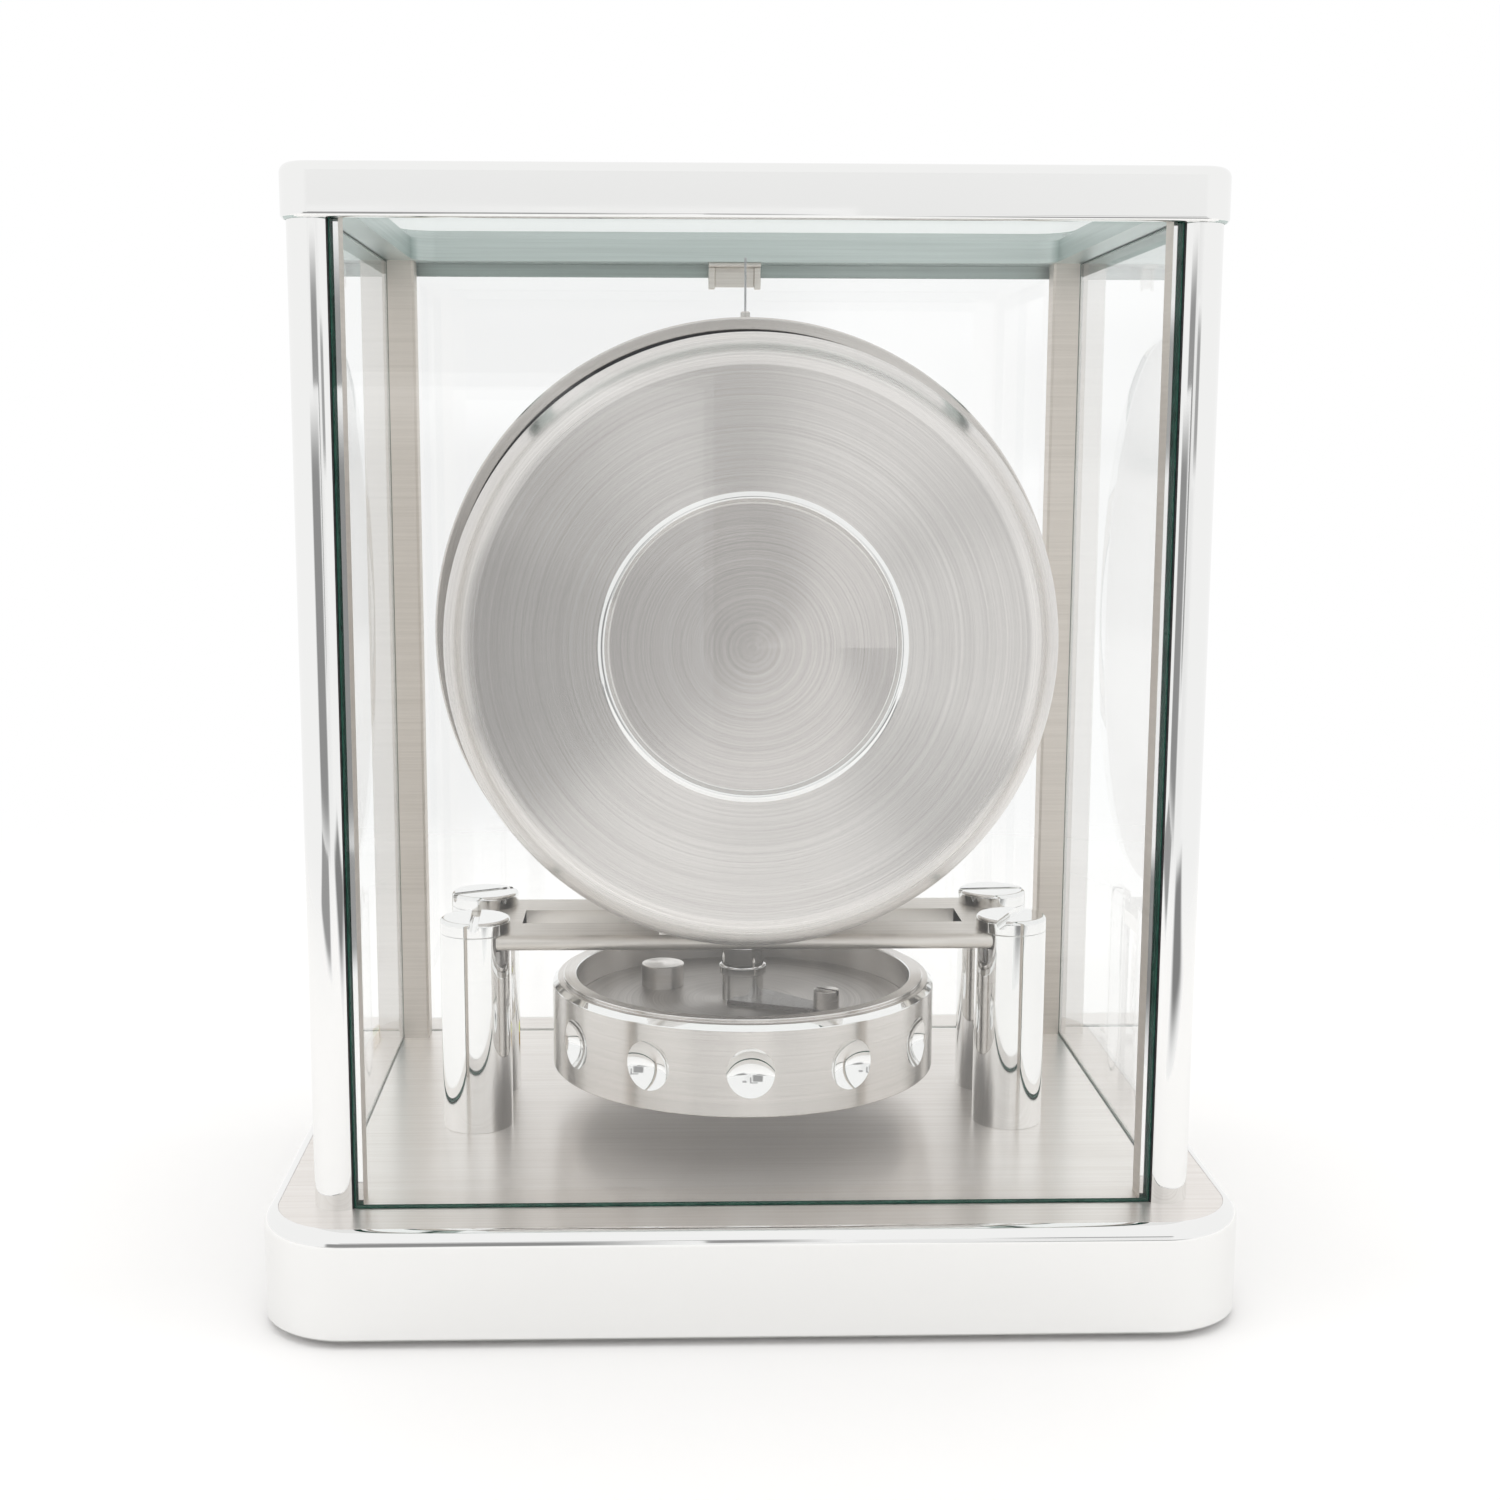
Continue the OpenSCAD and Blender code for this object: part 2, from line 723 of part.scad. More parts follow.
module side_glass() {
    translate([pane_out_x - pane_t, -pane_half_d, deck_top])
        cube([pane_t, 2 * pane_half_d, frame_ceiling - set_gap - deck_top]);
}

module left_glass() { color("azure", 0.4) mirror([1, 0, 0]) side_glass(); }
module right_glass() { color("azure", 0.4) side_glass(); }

// The front pane tips forward on its rounded lower edge, which sits in a groove in the deck
module front_glass() {
    half = pane_half_w - free_gap;
    color("azure", 0.4)
    translate([-half, front_axis_y, deck_top]) {
        translate([0, -pane_t / 2, 0]) cube([2 * half, pane_t, front_top - deck_top]);
        rotate([0, 90, 0]) cylinder(r = pane_t / 2, h = 2 * half);
    }
}

// The catch hangs under the frame's front bar, behind the front pane
module glass_catch() {
    front = -(pane_out_y - pane_t - free_gap);
    lip = 0.6;
    cheek_w = 1.7;
    plate_w = catch_w - 2 * cheek_w;
    color("silver") {
        translate([-catch_w / 2, front, frame_ceiling - 1]) cube([catch_w, 5, 1]);
        translate([-plate_w / 2, front, frame_ceiling - catch_h]) cube([plate_w, 1, catch_h]);
        for (x = [-catch_w / 2, plate_w / 2])
            translate([x, front, frame_ceiling - catch_h - lip])
                cube([cheek_w, 2.2, catch_h + lip]);
    }
}

// Level and lock
module spirit_level() {
    color("gold")
    translate([level_x, -lock_y, deck_top]) {
        difference() {
            cylinder(r = level_r, h = level_h);
            translate([0, 0, level_floor]) cylinder(r = level_r - level_rim, h = level_h);
        }
        translate([0, 0, level_floor - eps])
            cylinder(r = level_r - 1.5 * level_rim, h = level_h - level_floor - 0.4 * level_rim);
    }
}

module lock_lever() {
    lever_z = deck_top + free_gap;
    color("silver")
    translate([lock_x, -lock_y, lever_z])
        difference() {
            union() {
                cylinder(r = lever_w, h = lever_t);
                translate([0, -lever_w / 2, 0]) cube([lock_l, lever_w, lever_t]);
                translate([lock_l, 0, 0]) cylinder(r = 0.7 * lever_w, h = lever_t);
                translate([lock_l, 0, lever_t - eps]) cylinder(r = knob_r, h = knob_h);
            }
            translate([0, 0, -1]) cylinder(r = lock_stud_r + run_gap, h = lever_t + 2);
        }
}

// Movement stand
module post(sx, y) {
    color("whitesmoke")
    difference() {
        translate([sx * post_x, y, deck_top]) cylinder(r = post_r, h = post_h);
        translate([-bridge_half - set_gap, bridge_front - set_gap, bridge_bottom])
            cube([2 * (bridge_half + set_gap), bridge_back - bridge_front + 2 * set_gap, bridge_t + 1]);
        translate([sx * post_x, y, deck_top - 1])
            cylinder(r = case_screw_r + set_gap, h = case_screw_bite + 2);
        translate([sx * post_x, y, post_top - cap_shank_l - 1])
            cylinder(r = cap_shank_r + set_gap, h = cap_shank_l + 2);
    }
}

module post_front_left() { post(-1, post_front_y); }
module post_front_right() { post(1, post_front_y); }
module post_rear_left() { post(-1, post_rear_y); }
module post_rear_right() { post(1, post_rear_y); }

// Slotted caps as wide as the posts clamp the bridge plate's corners
module post_caps() {
    places = [for (x = [-1, 1], y = [post_front_y, post_rear_y]) [x * post_x, y]];
    edge = 0.6;
    color("whitesmoke")
    for (i = [0 : 3])
        translate([places[i][0], places[i][1], post_top]) {
            difference() {
                rotate_extrude()
                    polygon([[0, 0], [post_r, 0], [post_r, cap_t - edge], [post_r - edge, cap_t],
                        [0, cap_t]]);
                rotate([0, 0, cap_angles[i]])
                    translate([-post_r - 1, 0, cap_t - cap_slot_depth + cap_slot / 2]) {
                        rotate([0, 90, 0]) cylinder(r = cap_slot / 2, h = 2 * post_r + 2);
                        translate([0, -cap_slot / 2, 0]) cube([2 * post_r + 2, cap_slot, cap_slot_depth]);
                    }
            }
            translate([0, 0, -cap_shank_l]) cylinder(r = cap_shank_r, h = cap_shank_l + eps);
        }
}

module bridge_plate() {
    nose = bridge_t / 2;
    color("silver")
    difference() {
        union() {
            translate([-bridge_half, bridge_front + nose, bridge_bottom])
                cube([2 * bridge_half, bridge_back - bridge_front - 2 * nose, bridge_t]);
            for (y = [bridge_front + nose, bridge_back - nose])
                translate([-bridge_half, y, bridge_bottom + nose])
                    rotate([0, 90, 0]) cylinder(r = nose, h = 2 * bridge_half);
        }
        translate([-window_half, bridge_front + bridge_bar, bridge_bottom - 1])
            cube([2 * window_half, bridge_back - bridge_front - 2 * bridge_bar, bridge_t + 2]);
        translate([0, balance_y, bridge_bottom - 1]) cylinder(r = stem_hole_r, h = bridge_t + 2);
        at_posts() translate([0, 0, bridge_bottom - 1]) cylinder(r = cap_shank_r + 0.1, h = bridge_t + 2);
    }
}

// Two saddles carry the movement ring on the bridge
module movement_saddles() {
    saddle_y = bridge_front + saddle_edge;
    saddle_l = bridge_back - bridge_front - 2 * saddle_edge;
    color("silver")
    for (side = [0, 1])
        mirror([side, 0, 0])
            difference() {
                translate([saddle_in, saddle_y, post_top]) cube([saddle_w, saddle_l, 5]);
                on_axis(0, axis_z, saddle_y + saddle_l + 1)
                    cylinder(r = ring_r + set_gap, h = saddle_l + 2, $fn = 480);
            }
}

// Movement
module movement_ring() {
    color("silver")
    difference() {
        turned_ring(ring_front, ring_back, ring_r, ring_in);
        translate([0, balance_y, axis_z]) cylinder(r = chuck_r + set_gap, h = ring_r + 1);
        translate([0, balance_y, axis_z - ring_r - 1]) cylinder(r = stem_hole_r, h = ring_r);
    }
}

module train_plate(y, centre_hole) {
    difference() {
        on_axis(0, axis_z, y + plate_t) cylinder(r = plate_r, h = plate_t);
        on_axis(0, axis_z, y + plate_t + 1) cylinder(r = centre_hole, h = plate_t + 2);
        on_axis(barrel_x, barrel_z, y + plate_t + 1) cylinder(r = barrel_bore + set_gap, h = plate_t + 2);
        on_axis(0, escape_z, y + plate_t + 1) cylinder(r = pivot_r + run_gap, h = plate_t + 2);
        on_axis(0, pallet_z, y + plate_t + 1) cylinder(r = pivot_r + run_gap, h = plate_t + 2);
    }
}

module front_plate() {
    color("goldenrod") {
        train_plate(front_plate_y, arbor_r + run_gap);
        on_axis(motion_at * cos(motion_dir), axis_z + motion_at * sin(motion_dir), front_plate_y + 1)
            cylinder(r = stud_r,
                h = front_plate_y + 1 - minute_wheel_y + wheel_t + minute_pinion_l + end_shake);
    }
}

module back_plate() {
    color("goldenrod") train_plate(back_front, pivot_r + run_gap);
}

module plate_pillars() {
    color("goldenrod")
    for (i = [0 : 3]) {
        x = pillar_at * cos(45 + 90 * i);
        z = axis_z + pillar_at * sin(45 + 90 * i);
        on_axis(x, z, back_front) cylinder(r = pillar_r, h = plate_gap);
        on_axis(x, z, carrier_front) cylinder(r = pillar_r, h = carrier_gap);
    }
}

module drum_carrier() {
    color("dimgray") turned_ring(carrier_front, carrier_back, plate_r, carrier_hole);
}

// Train
module barrel() {
    great_front = great_y;
    drum_start = great_front - eps;
    color("goldenrod")
    on_axis(barrel_x, barrel_z, great_front)
        gear(wheel_teeth, barrel_mod, wheel_t, barrel_bore + run_gap, barrel_dir + 180);
    color("goldenrod")
    on_axis(barrel_x, barrel_z, drum_start + barrel_l)
        difference() {
            cylinder(r = barrel_r, h = barrel_l);
            translate([0, 0, -1]) cylinder(r = barrel_r - barrel_wall, h = barrel_l - barrel_wall + 1);
            translate([0, 0, -1]) cylinder(r = barrel_bore + run_gap, h = barrel_l + 2);
        }
}

module barrel_arbor() {
    color("lightgray")
    on_axis(barrel_x, barrel_z, back_back) cylinder(r = barrel_bore, h = back_back - front_plate_y);
}

// The mainspring is a flat spiral in the barrel
module mainspring() {
    inner = barrel_bore + 2;
    turns = floor((barrel_r - barrel_wall - inner - spring_t - 0.5) / spring_pitch);
    steps = 24;
    inside = [for (i = [0 : turns * steps]) polar(inner + spring_pitch * i / steps, 360 * i / steps)];
    outside = [for (i = [turns * steps : -1 : 0])
        polar(inner + spring_t + spring_pitch * i / steps, 360 * i / steps)];
    color("steelblue")
    on_axis(barrel_x, barrel_z, great_y + barrel_l - 0.8)
        linear_extrude(height = barrel_l - barrel_wall - 1.2) polygon(concat(inside, outside));
}

module centre_arbor() {
    tip = minute_hand_y - hand_t - nut_l - 0.5;
    color("lightgray") {
        on_axis(0, axis_z, back_front - end_shake) cylinder(r = arbor_r, h = back_front - end_shake - tip);
        on_axis(0, axis_z, back_back - end_shake) cylinder(r = pivot_r, h = plate_t + eps);
        on_axis(0, axis_z, great_y + 0.6)
            gear(pinion_teeth, barrel_mod, wheel_t + 0.9, arbor_r - eps, barrel_dir + 180 / pinion_teeth);
    }
}

module centre_wheel() {
    color("goldenrod")
    on_axis(0, axis_z, centre_y)
        difference() {
            gear(wheel_teeth, escape_mod, wheel_t, arbor_r + 0.02, -90);
            for (i = [0 : 3])
                rotate([0, 0, 45 + 90 * i]) translate([10.5, 0, -1]) cylinder(r = 4.6, h = wheel_t + 2);
        }
}

module escape_wheel() {
    root = escape_r - 3;
    pitch_angle = 360 / escape_teeth;
    tooth = [[0, root], [0.28, escape_r], [0.36, escape_r], [0.5, root]];
    outline = [for (i = [0 : escape_teeth - 1], p = tooth) polar(p[1], pitch_angle * (i + p[0]))];
    color("goldenrod") {
        on_axis(0, escape_z, back_front - end_shake)
            cylinder(r = pivot_r + 0.4, h = plate_gap - 2 * end_shake);
        on_axis(0, escape_z, back_back - end_shake)
            cylinder(r = pivot_r, h = back_back - front_plate_y - 2 * end_shake);
        on_axis(0, escape_z, centre_y + 0.8)
            gear(pinion_teeth, escape_mod, wheel_t + 1.6, pivot_r, 90 + 180 / pinion_teeth);
        on_axis(0, escape_z, scape_y)
            difference() {
                linear_extrude(height = wheel_t) polygon(outline);
                translate([0, 0, -1]) cylinder(r = pivot_r, h = wheel_t + 2);
            }
    }
}

// The pallet lever: an anchor by the escape wheel and a crutch behind the back plate
module pallet_lever() {
    reach = escape_r + 1;
    spread = 40;
    tip = [reach * sin(spread), pallet_drop - reach * cos(spread)];
    arm = 1.6;
    half = [[tip[0] + arm, tip[1] - arm], tip, [tip[0] - arm, tip[1] - arm], [0, arm + 1]];
    anchor = concat([[0, -arm - 1]], half, [for (i = [2 : -1 : 0]) [-half[i][0], half[i][1]]]);
    crutch_y = back_back + 2;
    fork_z = neck_top + roller_t + free_gap + 0.1;
    fork_y = balance_y - impulse_at - impulse_r - free_gap - 0.2;
    color("lightgray") {
        on_axis(0, pallet_z, crutch_y) cylinder(r = pivot_r, h = crutch_y - front_plate_y - end_shake);
        on_axis(0, pallet_z, back_front - end_shake)
            cylinder(r = pivot_r + 0.4, h = plate_gap - 2 * end_shake);
        on_axis(0, pallet_z, scape_y) linear_extrude(height = wheel_t) polygon(anchor);
        translate([-2, back_back + 0.6, fork_z + 2]) cube([4, 1.4, pallet_z - fork_z]);
        for (x = [-1, 1])
            translate([x * 1.5 - 0.5, back_back + 0.6, fork_z]) cube([1, fork_y - back_back - 0.6, 4]);
    }
}

// Motion work
module cannon_pinion() {
    pipe_l = cannon_y - (minute_hand_y - hand_t);
    color("lightgray")
    on_axis(0, axis_z, cannon_y) {
        gear(cannon_teeth, motion_mod, cannon_l, arbor_r + 0.02, motion_dir);
        difference() {
            cylinder(r = cannon_r, h = pipe_l);
            translate([0, 0, -1]) cylinder(r = arbor_r + 0.02, h = pipe_l + 2);
        }
    }
}

module minute_wheel() {
    x = motion_at * cos(motion_dir);
    z = axis_z + motion_at * sin(motion_dir);
    color("goldenrod")
    on_axis(x, z, minute_wheel_y) {
        gear(minute_teeth, motion_mod, wheel_t, stud_r + run_gap, motion_dir + 180 + 180 / minute_teeth);
        translate([0, 0, wheel_t - eps])
            gear(minute_pinion_teeth, hour_mod, minute_pinion_l, stud_r + run_gap, motion_dir + 180);
    }
}

module hour_wheel() {
    pipe_back = cannon_y - cannon_l - 0.4;
    pipe_l = pipe_back - (hour_hand_y - hand_t);
    color("goldenrod") {
        on_axis(0, axis_z, hour_wheel_y)
            gear(hour_teeth, hour_mod, wheel_t, hour_pipe_r - eps, motion_dir + 180 / hour_teeth);
        turned_ring(pipe_back - pipe_l, pipe_back, hour_pipe_r, cannon_r + run_gap);
    }
}

// Dial and hands
module dial() {
    color("whitesmoke") {
        turned_ring(dial_front, dial_back, dial_r, hour_pipe_r + 0.5);
        for (a = [90, 210, 330])
            on_axis(dial_foot_at * cos(a), axis_z + dial_foot_at * sin(a), front_plate_y)
                cylinder(r = dial_foot_r, h = dial_gap + eps);
    }
}

module dial_bezel() {
    color("whitesmoke") {
        turned_ring(dial_front - bezel_lip, dial_front, ring_r, dial_r - bezel_lap);
        turned_ring(dial_front - eps, bezel_back, ring_r, dial_r + set_gap);
    }
}

module hour_markers() {
    wide = 3.4;
    narrow = 2;
    color("dimgray")
    on_axis(0, axis_z, dial_front)
        for (i = [0 : 11])
            rotate([0, 0, 30 * i])
                translate([marker_r - marker_l, -(i % 3 == 0 ? wide : narrow) / 2, 0])
                    cube([marker_l, i % 3 == 0 ? wide : narrow, marker_t]);
}

// A tapered hand of length l, pointing along +Y, with a hub and a bore
module hand(l, w, tail, hub, bore) {
    difference() {
        union() {
            linear_extrude(height = hand_t)
                polygon([[0, l], [-w / 2, l * 0.3], [-w * 0.28, 0], [-w * 0.22, -tail], [w * 0.22, -tail],
                    [w * 0.28, 0], [w / 2, l * 0.3]]);
            cylinder(r = hub, h = hand_t);
        }
        translate([0, 0, -1]) cylinder(r = bore, h = hand_t + 2);
    }
}

module hour_hand() {
    color("dimgray")
    on_axis(0, axis_z, hour_hand_y)
        rotate([0, 0, -rest_minutes / 2])
            hand(hour_hand_l, 6, 9, hour_pipe_r + 2, hour_pipe_r + 0.02);
}

module minute_hand() {
    color("dimgray")
    on_axis(0, axis_z, minute_hand_y)
        rotate([0, 0, -rest_minutes * 6])
            hand(minute_hand_l, 5, 12, cannon_r + 2, cannon_r + 0.02);
}

module hand_nut() {
    color("lightgray")
    turned_ring(minute_hand_y - hand_t - nut_l, minute_hand_y - hand_t, cannon_r, arbor_r + 0.02);
}

// Suspension and balance
module top_chuck() {
    chuck_bottom = axis_z + ring_in - 4;
    chuck_top = axis_z + sqrt(ring_r * ring_r - chuck_r * chuck_r);
    color("lightgray")
    translate([0, balance_y, 0])
        difference() {
            union() {
                translate([0, 0, chuck_bottom]) cylinder(r = chuck_r, h = chuck_top - chuck_bottom);
                translate([0, 0, chuck_top - eps]) cylinder(r = ferrule_r, h = ferrule_l + eps);
            }
            translate([0, 0, chuck_bottom - 1])
                cylinder(r = wire_r + set_gap, h = ring_wall + ferrule_l + 10);
        }
}

module suspension_wire() {
    color("gray")
    translate([0, balance_y, neck_top - wire_bite])
        cylinder(r = wire_r, h = axis_z + ring_r + wire_tail - neck_top + wire_bite);
}

module balance_ring() {
    step_r = balance_r - rim_bevel - 1.4;
    edge = 0.4;
    color("silver")
    translate([0, balance_y, 0])
        difference() {
            rotate_extrude()
                polygon([[rim_in, balance_bottom], [balance_r - edge, balance_bottom],
                    [balance_r, balance_bottom + edge],
                    [balance_r, balance_top - rim_step - rim_bevel],
                    [balance_r - rim_bevel, balance_top - rim_step], [step_r, balance_top - rim_step],
                    [step_r, balance_top], [rim_in + edge, balance_top], [rim_in, balance_top - edge]]);
            for (i = [0 : dimples - 1])
                rotate([0, 0, 90 + 360 * i / dimples])
                    translate([balance_r + dimple_sphere - dimple_depth, 0, dimple_z])
                        sphere(r = dimple_sphere);
        }
}

// The floor that carries the ring on the hub's spigot
module balance_floor() {
    color("silver")
    translate([0, balance_y, floor_top - floor_t])
        difference() {
            cylinder(r = rim_in - set_gap, h = floor_t);
            translate([0, 0, -1]) cylinder(r = spigot_r + set_gap, h = floor_t + 2);
        }
}

module balance_hub() {
    flange_top = floor_top + flange_t;
    collar_z = flange_top + 4.5;
    color("lightgray")
    translate([0, balance_y, 0])
        difference() {
            union() {
                translate([0, 0, floor_top - floor_t]) cylinder(r = spigot_r, h = floor_t + eps);
                translate([0, 0, floor_top]) cylinder(r = stem_r + 3, h = flange_t);
                translate([0, 0, flange_top - eps]) cylinder(r = stem_r, h = stem_top - flange_top + eps);
                translate([0, 0, collar_z]) cylinder(r = stem_r + 0.6, h = 2);
                translate([0, 0, stem_top - eps]) cylinder(r = neck_r, h = neck_top - stem_top + eps);
                translate([0, 0, neck_top]) cylinder(r = roller_r, h = roller_t);
                translate([0, -impulse_at, neck_top + roller_t - eps]) cylinder(r = impulse_r, h = 3);
            }
            translate([0, 0, neck_top - wire_bite - 2]) cylinder(r = wire_bore, h = wire_bite + roller_t + 3);
        }
}

// The timing arm runs from the hub's flange to the timing screw
module timing_arm() {
    arm_z = floor_top + flange_t;
    color("silver")
    translate([0, balance_y, arm_z])
        rotate([0, 0, timing_dir])
            difference() {
                union() {
                    linear_extrude(height = arm_t)
                        polygon([[0, -7], [timing_at, -2.5], [timing_at, 2.5], [0, 7]]);
                    cylinder(r = 7, h = arm_t);
                    translate([timing_at, 0, 0]) cylinder(r = 3.4, h = arm_t);
                }
                translate([0, 0, -1]) cylinder(r = stem_r + set_gap, h = arm_t + 2);
                translate([timing_at, 0, -1]) cylinder(r = 2 + set_gap, h = arm_t + 2);
            }
}

// The slotted timing screw and the weight that balances it
module timing_pins() {
    head_z = flange_t + arm_t;
    head_l = 2.4;
    color("lightgray")
    translate([0, balance_y, floor_top])
        rotate([0, 0, timing_dir]) {
            translate([timing_at, 0, 0]) {
                cylinder(r = 2, h = head_z + eps);
                difference() {
                    translate([0, 0, head_z]) cylinder(r = timing_r, h = head_l);
                    translate([-timing_r - 1, -driver_slot / 2, head_z + head_l / 2])
                        cube([2 * timing_r + 2, driver_slot, head_l]);
                }
            }
            translate([-timing_at, 0, 0]) cylinder(r = weight_r, h = floor_drop + 0.4);
        }
}

// Bellows drum
module drum_can() {
    outer = concat([[0, drum_face - recess_depth], [recess_r, drum_face - recess_depth],
            [recess_r + face_step, drum_face]],
        [for (i = [0 : 8]) [drum_r - drum_round + drum_round * sin(90 * i / 8),
            drum_face - drum_round + drum_round * cos(90 * i / 8)]],
        [[drum_r, drum_front]]);
    bend = max(drum_round - drum_wall, 0.5);
    inner = concat([[drum_in, drum_front]],
        [for (i = [8 : -1 : 0]) [drum_in - bend + bend * sin(90 * i / 8),
            drum_face - drum_wall - bend + bend * cos(90 * i / 8)]],
        [[recess_r + face_step + drum_wall / 2, drum_face - drum_wall],
            [recess_r + drum_wall / 2, drum_face - drum_wall - recess_depth],
            [0, drum_face - drum_wall - recess_depth]]);
    color("silver")
    on_axis(0, axis_z, 0)
        rotate_extrude() polygon([for (p = concat(outer, inner)) [p[0], -p[1]]]);
}

module drum_lid() {
    color("dimgray") {
        turned_ring(lid_y, lid_y + lid_t, drum_in - set_gap, rod_hole_r);
        turned_ring(carrier_back, lid_y + eps, carrier_hole + 4, rod_hole_r);
    }
}

// The gas-filled bellows: a folded wall closed by a disc on the drum's rear face
module bellows() {
    start = pressure_y + pressure_t;
    wall_l = bellows_end - bellows_wall - start;
    fold_l = wall_l / folds;
    low = bellows_r - fold_depth;
    seat_r = recess_r - pressure_rim;
    outer = [for (i = [0 : folds - 1], p = [[low, 0], [bellows_r, 0.5]]) [p[0], start + fold_l * (i + p[1])]];
    inner = [for (i = [folds - 1 : -1 : 0], p = [[bellows_r, 0.5], [low, 0]])
        [p[0] - bellows_wall * 1.6, start + fold_l * (i + p[1])]];
    end = [[low, bellows_end - bellows_wall], [seat_r, bellows_end - bellows_wall], [seat_r, bellows_end],
        [0, bellows_end], [0, bellows_end - 2 * bellows_wall],
        [low - bellows_wall * 1.6, bellows_end - 2 * bellows_wall]];
    color("darkgoldenrod")
    on_axis(0, axis_z, 0)
        rotate_extrude() polygon([for (p = concat(outer, end, inner)) [p[0], -p[1]]]);
}

// The pressure plate closes the bellows and pushes on the spring
module bellows_plate() {
    rod_front = carrier_front - pressure_rim;
    color("lightgray") {
        on_axis(0, axis_z, pressure_y + pressure_t)
            cylinder(r = bellows_r - fold_depth + pressure_rim, h = pressure_t);
        on_axis(0, axis_z, pressure_y + eps) cylinder(r = pressure_rod_r, h = pressure_y - rod_front);
    }
}

// A coil spring between the drum's lid and the pressure plate
module bellows_spring() {
    sides = 8;
    steps = 20;
    rings = coil_turns * steps;
    start = lid_y + lid_t + spring_wire;
    rise = pressure_y - spring_wire - start;
    points = [for (i = [0 : rings], k = [0 : sides - 1])
        let (r = coil_r + spring_wire * cos(360 * k / sides), a = 360 * i / steps)
        [r * cos(a), r * sin(a), start + rise * i / rings + spring_wire * sin(360 * k / sides)]];
    walls = [for (i = [0 : rings - 1], k = [0 : sides - 1])
        [i * sides + k, i * sides + (k + 1) % sides, (i + 1) * sides + (k + 1) % sides, (i + 1) * sides + k]];
    ends = [[for (k = [sides - 1 : -1 : 0]) k], [for (k = [0 : sides - 1]) rings * sides + k]];
    color("gray")
    translate([0, 0, axis_z]) rotate([-90, 0, 0]) polyhedron(points, concat(walls, ends));
}

base_plinth();
deck_plate();
bottom_cover();
base_screws();
rear_foot();
levelling_foot_left();
levelling_foot_right();
column_front_left();
column_front_right();
column_rear_left();
column_rear_right();
top_frame();
top_glass();
rear_glass();
left_glass();
right_glass();
front_glass();
glass_catch();
spirit_level();
lock_lever();
post_front_left();
post_front_right();
post_rear_left();
post_rear_right();
post_caps();
bridge_plate();
movement_saddles();
movement_ring();
front_plate();
back_plate();
plate_pillars();
drum_carrier();
barrel();
barrel_arbor();
mainspring();
centre_arbor();
centre_wheel();
escape_wheel();
pallet_lever();
cannon_pinion();
minute_wheel();
hour_wheel();
dial();
dial_bezel();
hour_markers();
hour_hand();
minute_hand();
hand_nut();
top_chuck();
suspension_wire();
balance_ring();
balance_floor();
balance_hub();
timing_arm();
timing_pins();
drum_can();
drum_lid();
bellows();
bellows_plate();
bellows_spring();
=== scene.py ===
"""Looks of the torsion clock: its metal and glass pieces, their finishes, the camera and the studio."""

import json
import logging
import math
from abc import ABC, abstractmethod
from collections.abc import Callable, Iterable, Sequence
from dataclasses import dataclass, field
from enum import Enum
from functools import cache
from typing import ClassVar, NamedTuple

import bmesh
import bpy
from bmesh.types import BMEdge, BMFace, BMVert
from mathutils import Matrix, Vector
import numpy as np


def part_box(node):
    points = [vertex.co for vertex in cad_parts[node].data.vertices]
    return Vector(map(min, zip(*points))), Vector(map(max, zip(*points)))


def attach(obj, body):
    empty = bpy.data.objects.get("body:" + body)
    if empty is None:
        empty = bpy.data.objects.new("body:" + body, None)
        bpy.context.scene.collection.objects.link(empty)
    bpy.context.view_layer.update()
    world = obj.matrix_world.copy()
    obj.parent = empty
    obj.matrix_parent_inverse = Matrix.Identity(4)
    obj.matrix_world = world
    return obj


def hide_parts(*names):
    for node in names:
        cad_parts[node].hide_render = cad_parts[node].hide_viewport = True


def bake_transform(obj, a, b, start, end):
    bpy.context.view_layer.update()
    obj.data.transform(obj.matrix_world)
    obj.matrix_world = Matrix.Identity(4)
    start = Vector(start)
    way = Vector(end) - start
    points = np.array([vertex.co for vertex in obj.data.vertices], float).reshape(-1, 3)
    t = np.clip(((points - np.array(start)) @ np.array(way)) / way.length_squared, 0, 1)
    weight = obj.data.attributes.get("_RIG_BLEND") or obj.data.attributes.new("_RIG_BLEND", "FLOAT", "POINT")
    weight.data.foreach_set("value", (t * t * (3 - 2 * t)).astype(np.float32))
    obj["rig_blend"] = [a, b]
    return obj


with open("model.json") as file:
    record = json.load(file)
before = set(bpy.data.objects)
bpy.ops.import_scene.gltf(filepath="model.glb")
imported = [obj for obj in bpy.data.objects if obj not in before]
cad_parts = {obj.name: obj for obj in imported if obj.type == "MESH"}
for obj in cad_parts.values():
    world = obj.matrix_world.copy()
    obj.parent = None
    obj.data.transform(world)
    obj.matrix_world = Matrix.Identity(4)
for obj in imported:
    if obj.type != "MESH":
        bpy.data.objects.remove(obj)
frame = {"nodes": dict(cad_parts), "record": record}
log = logging.getLogger("torsion_clock")

MM = 0.001
FULL_TURN = 2 * math.pi
# The UV map whose first direction runs across the lines of a brushed or turned surface
LAY = "lay"
# Edges that turn more than this stay sharp
SHARP_ANGLE = math.radians(32)
# Vertices of a turned form that lie nearer than this are one
WELD_MM = 1e-4
# How far large faces win over small ones in the shading, where 50 is neutral
STRONG_FACES = 100
# Drop from one stacked outline to the next, so that no two lie at one height, where the bridge would twist
HAIR_MM = 0.0008


def box_mm(node: str) -> tuple[Vector, Vector]:
    """Gives a node's lowest and highest corner in millimetres.

    Args:
        node: Name of the CAD node.

    Returns:
        The two corners.
    """
    low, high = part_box(node)
    return low / MM, high / MM


def body_of(node: str) -> str:
    """Gives the name of the body that carries a CAD node."""
    bodies = frame["record"]["behaviour"]["bodies"]
    return next(body for body, nodes in bodies.items() if node in nodes)


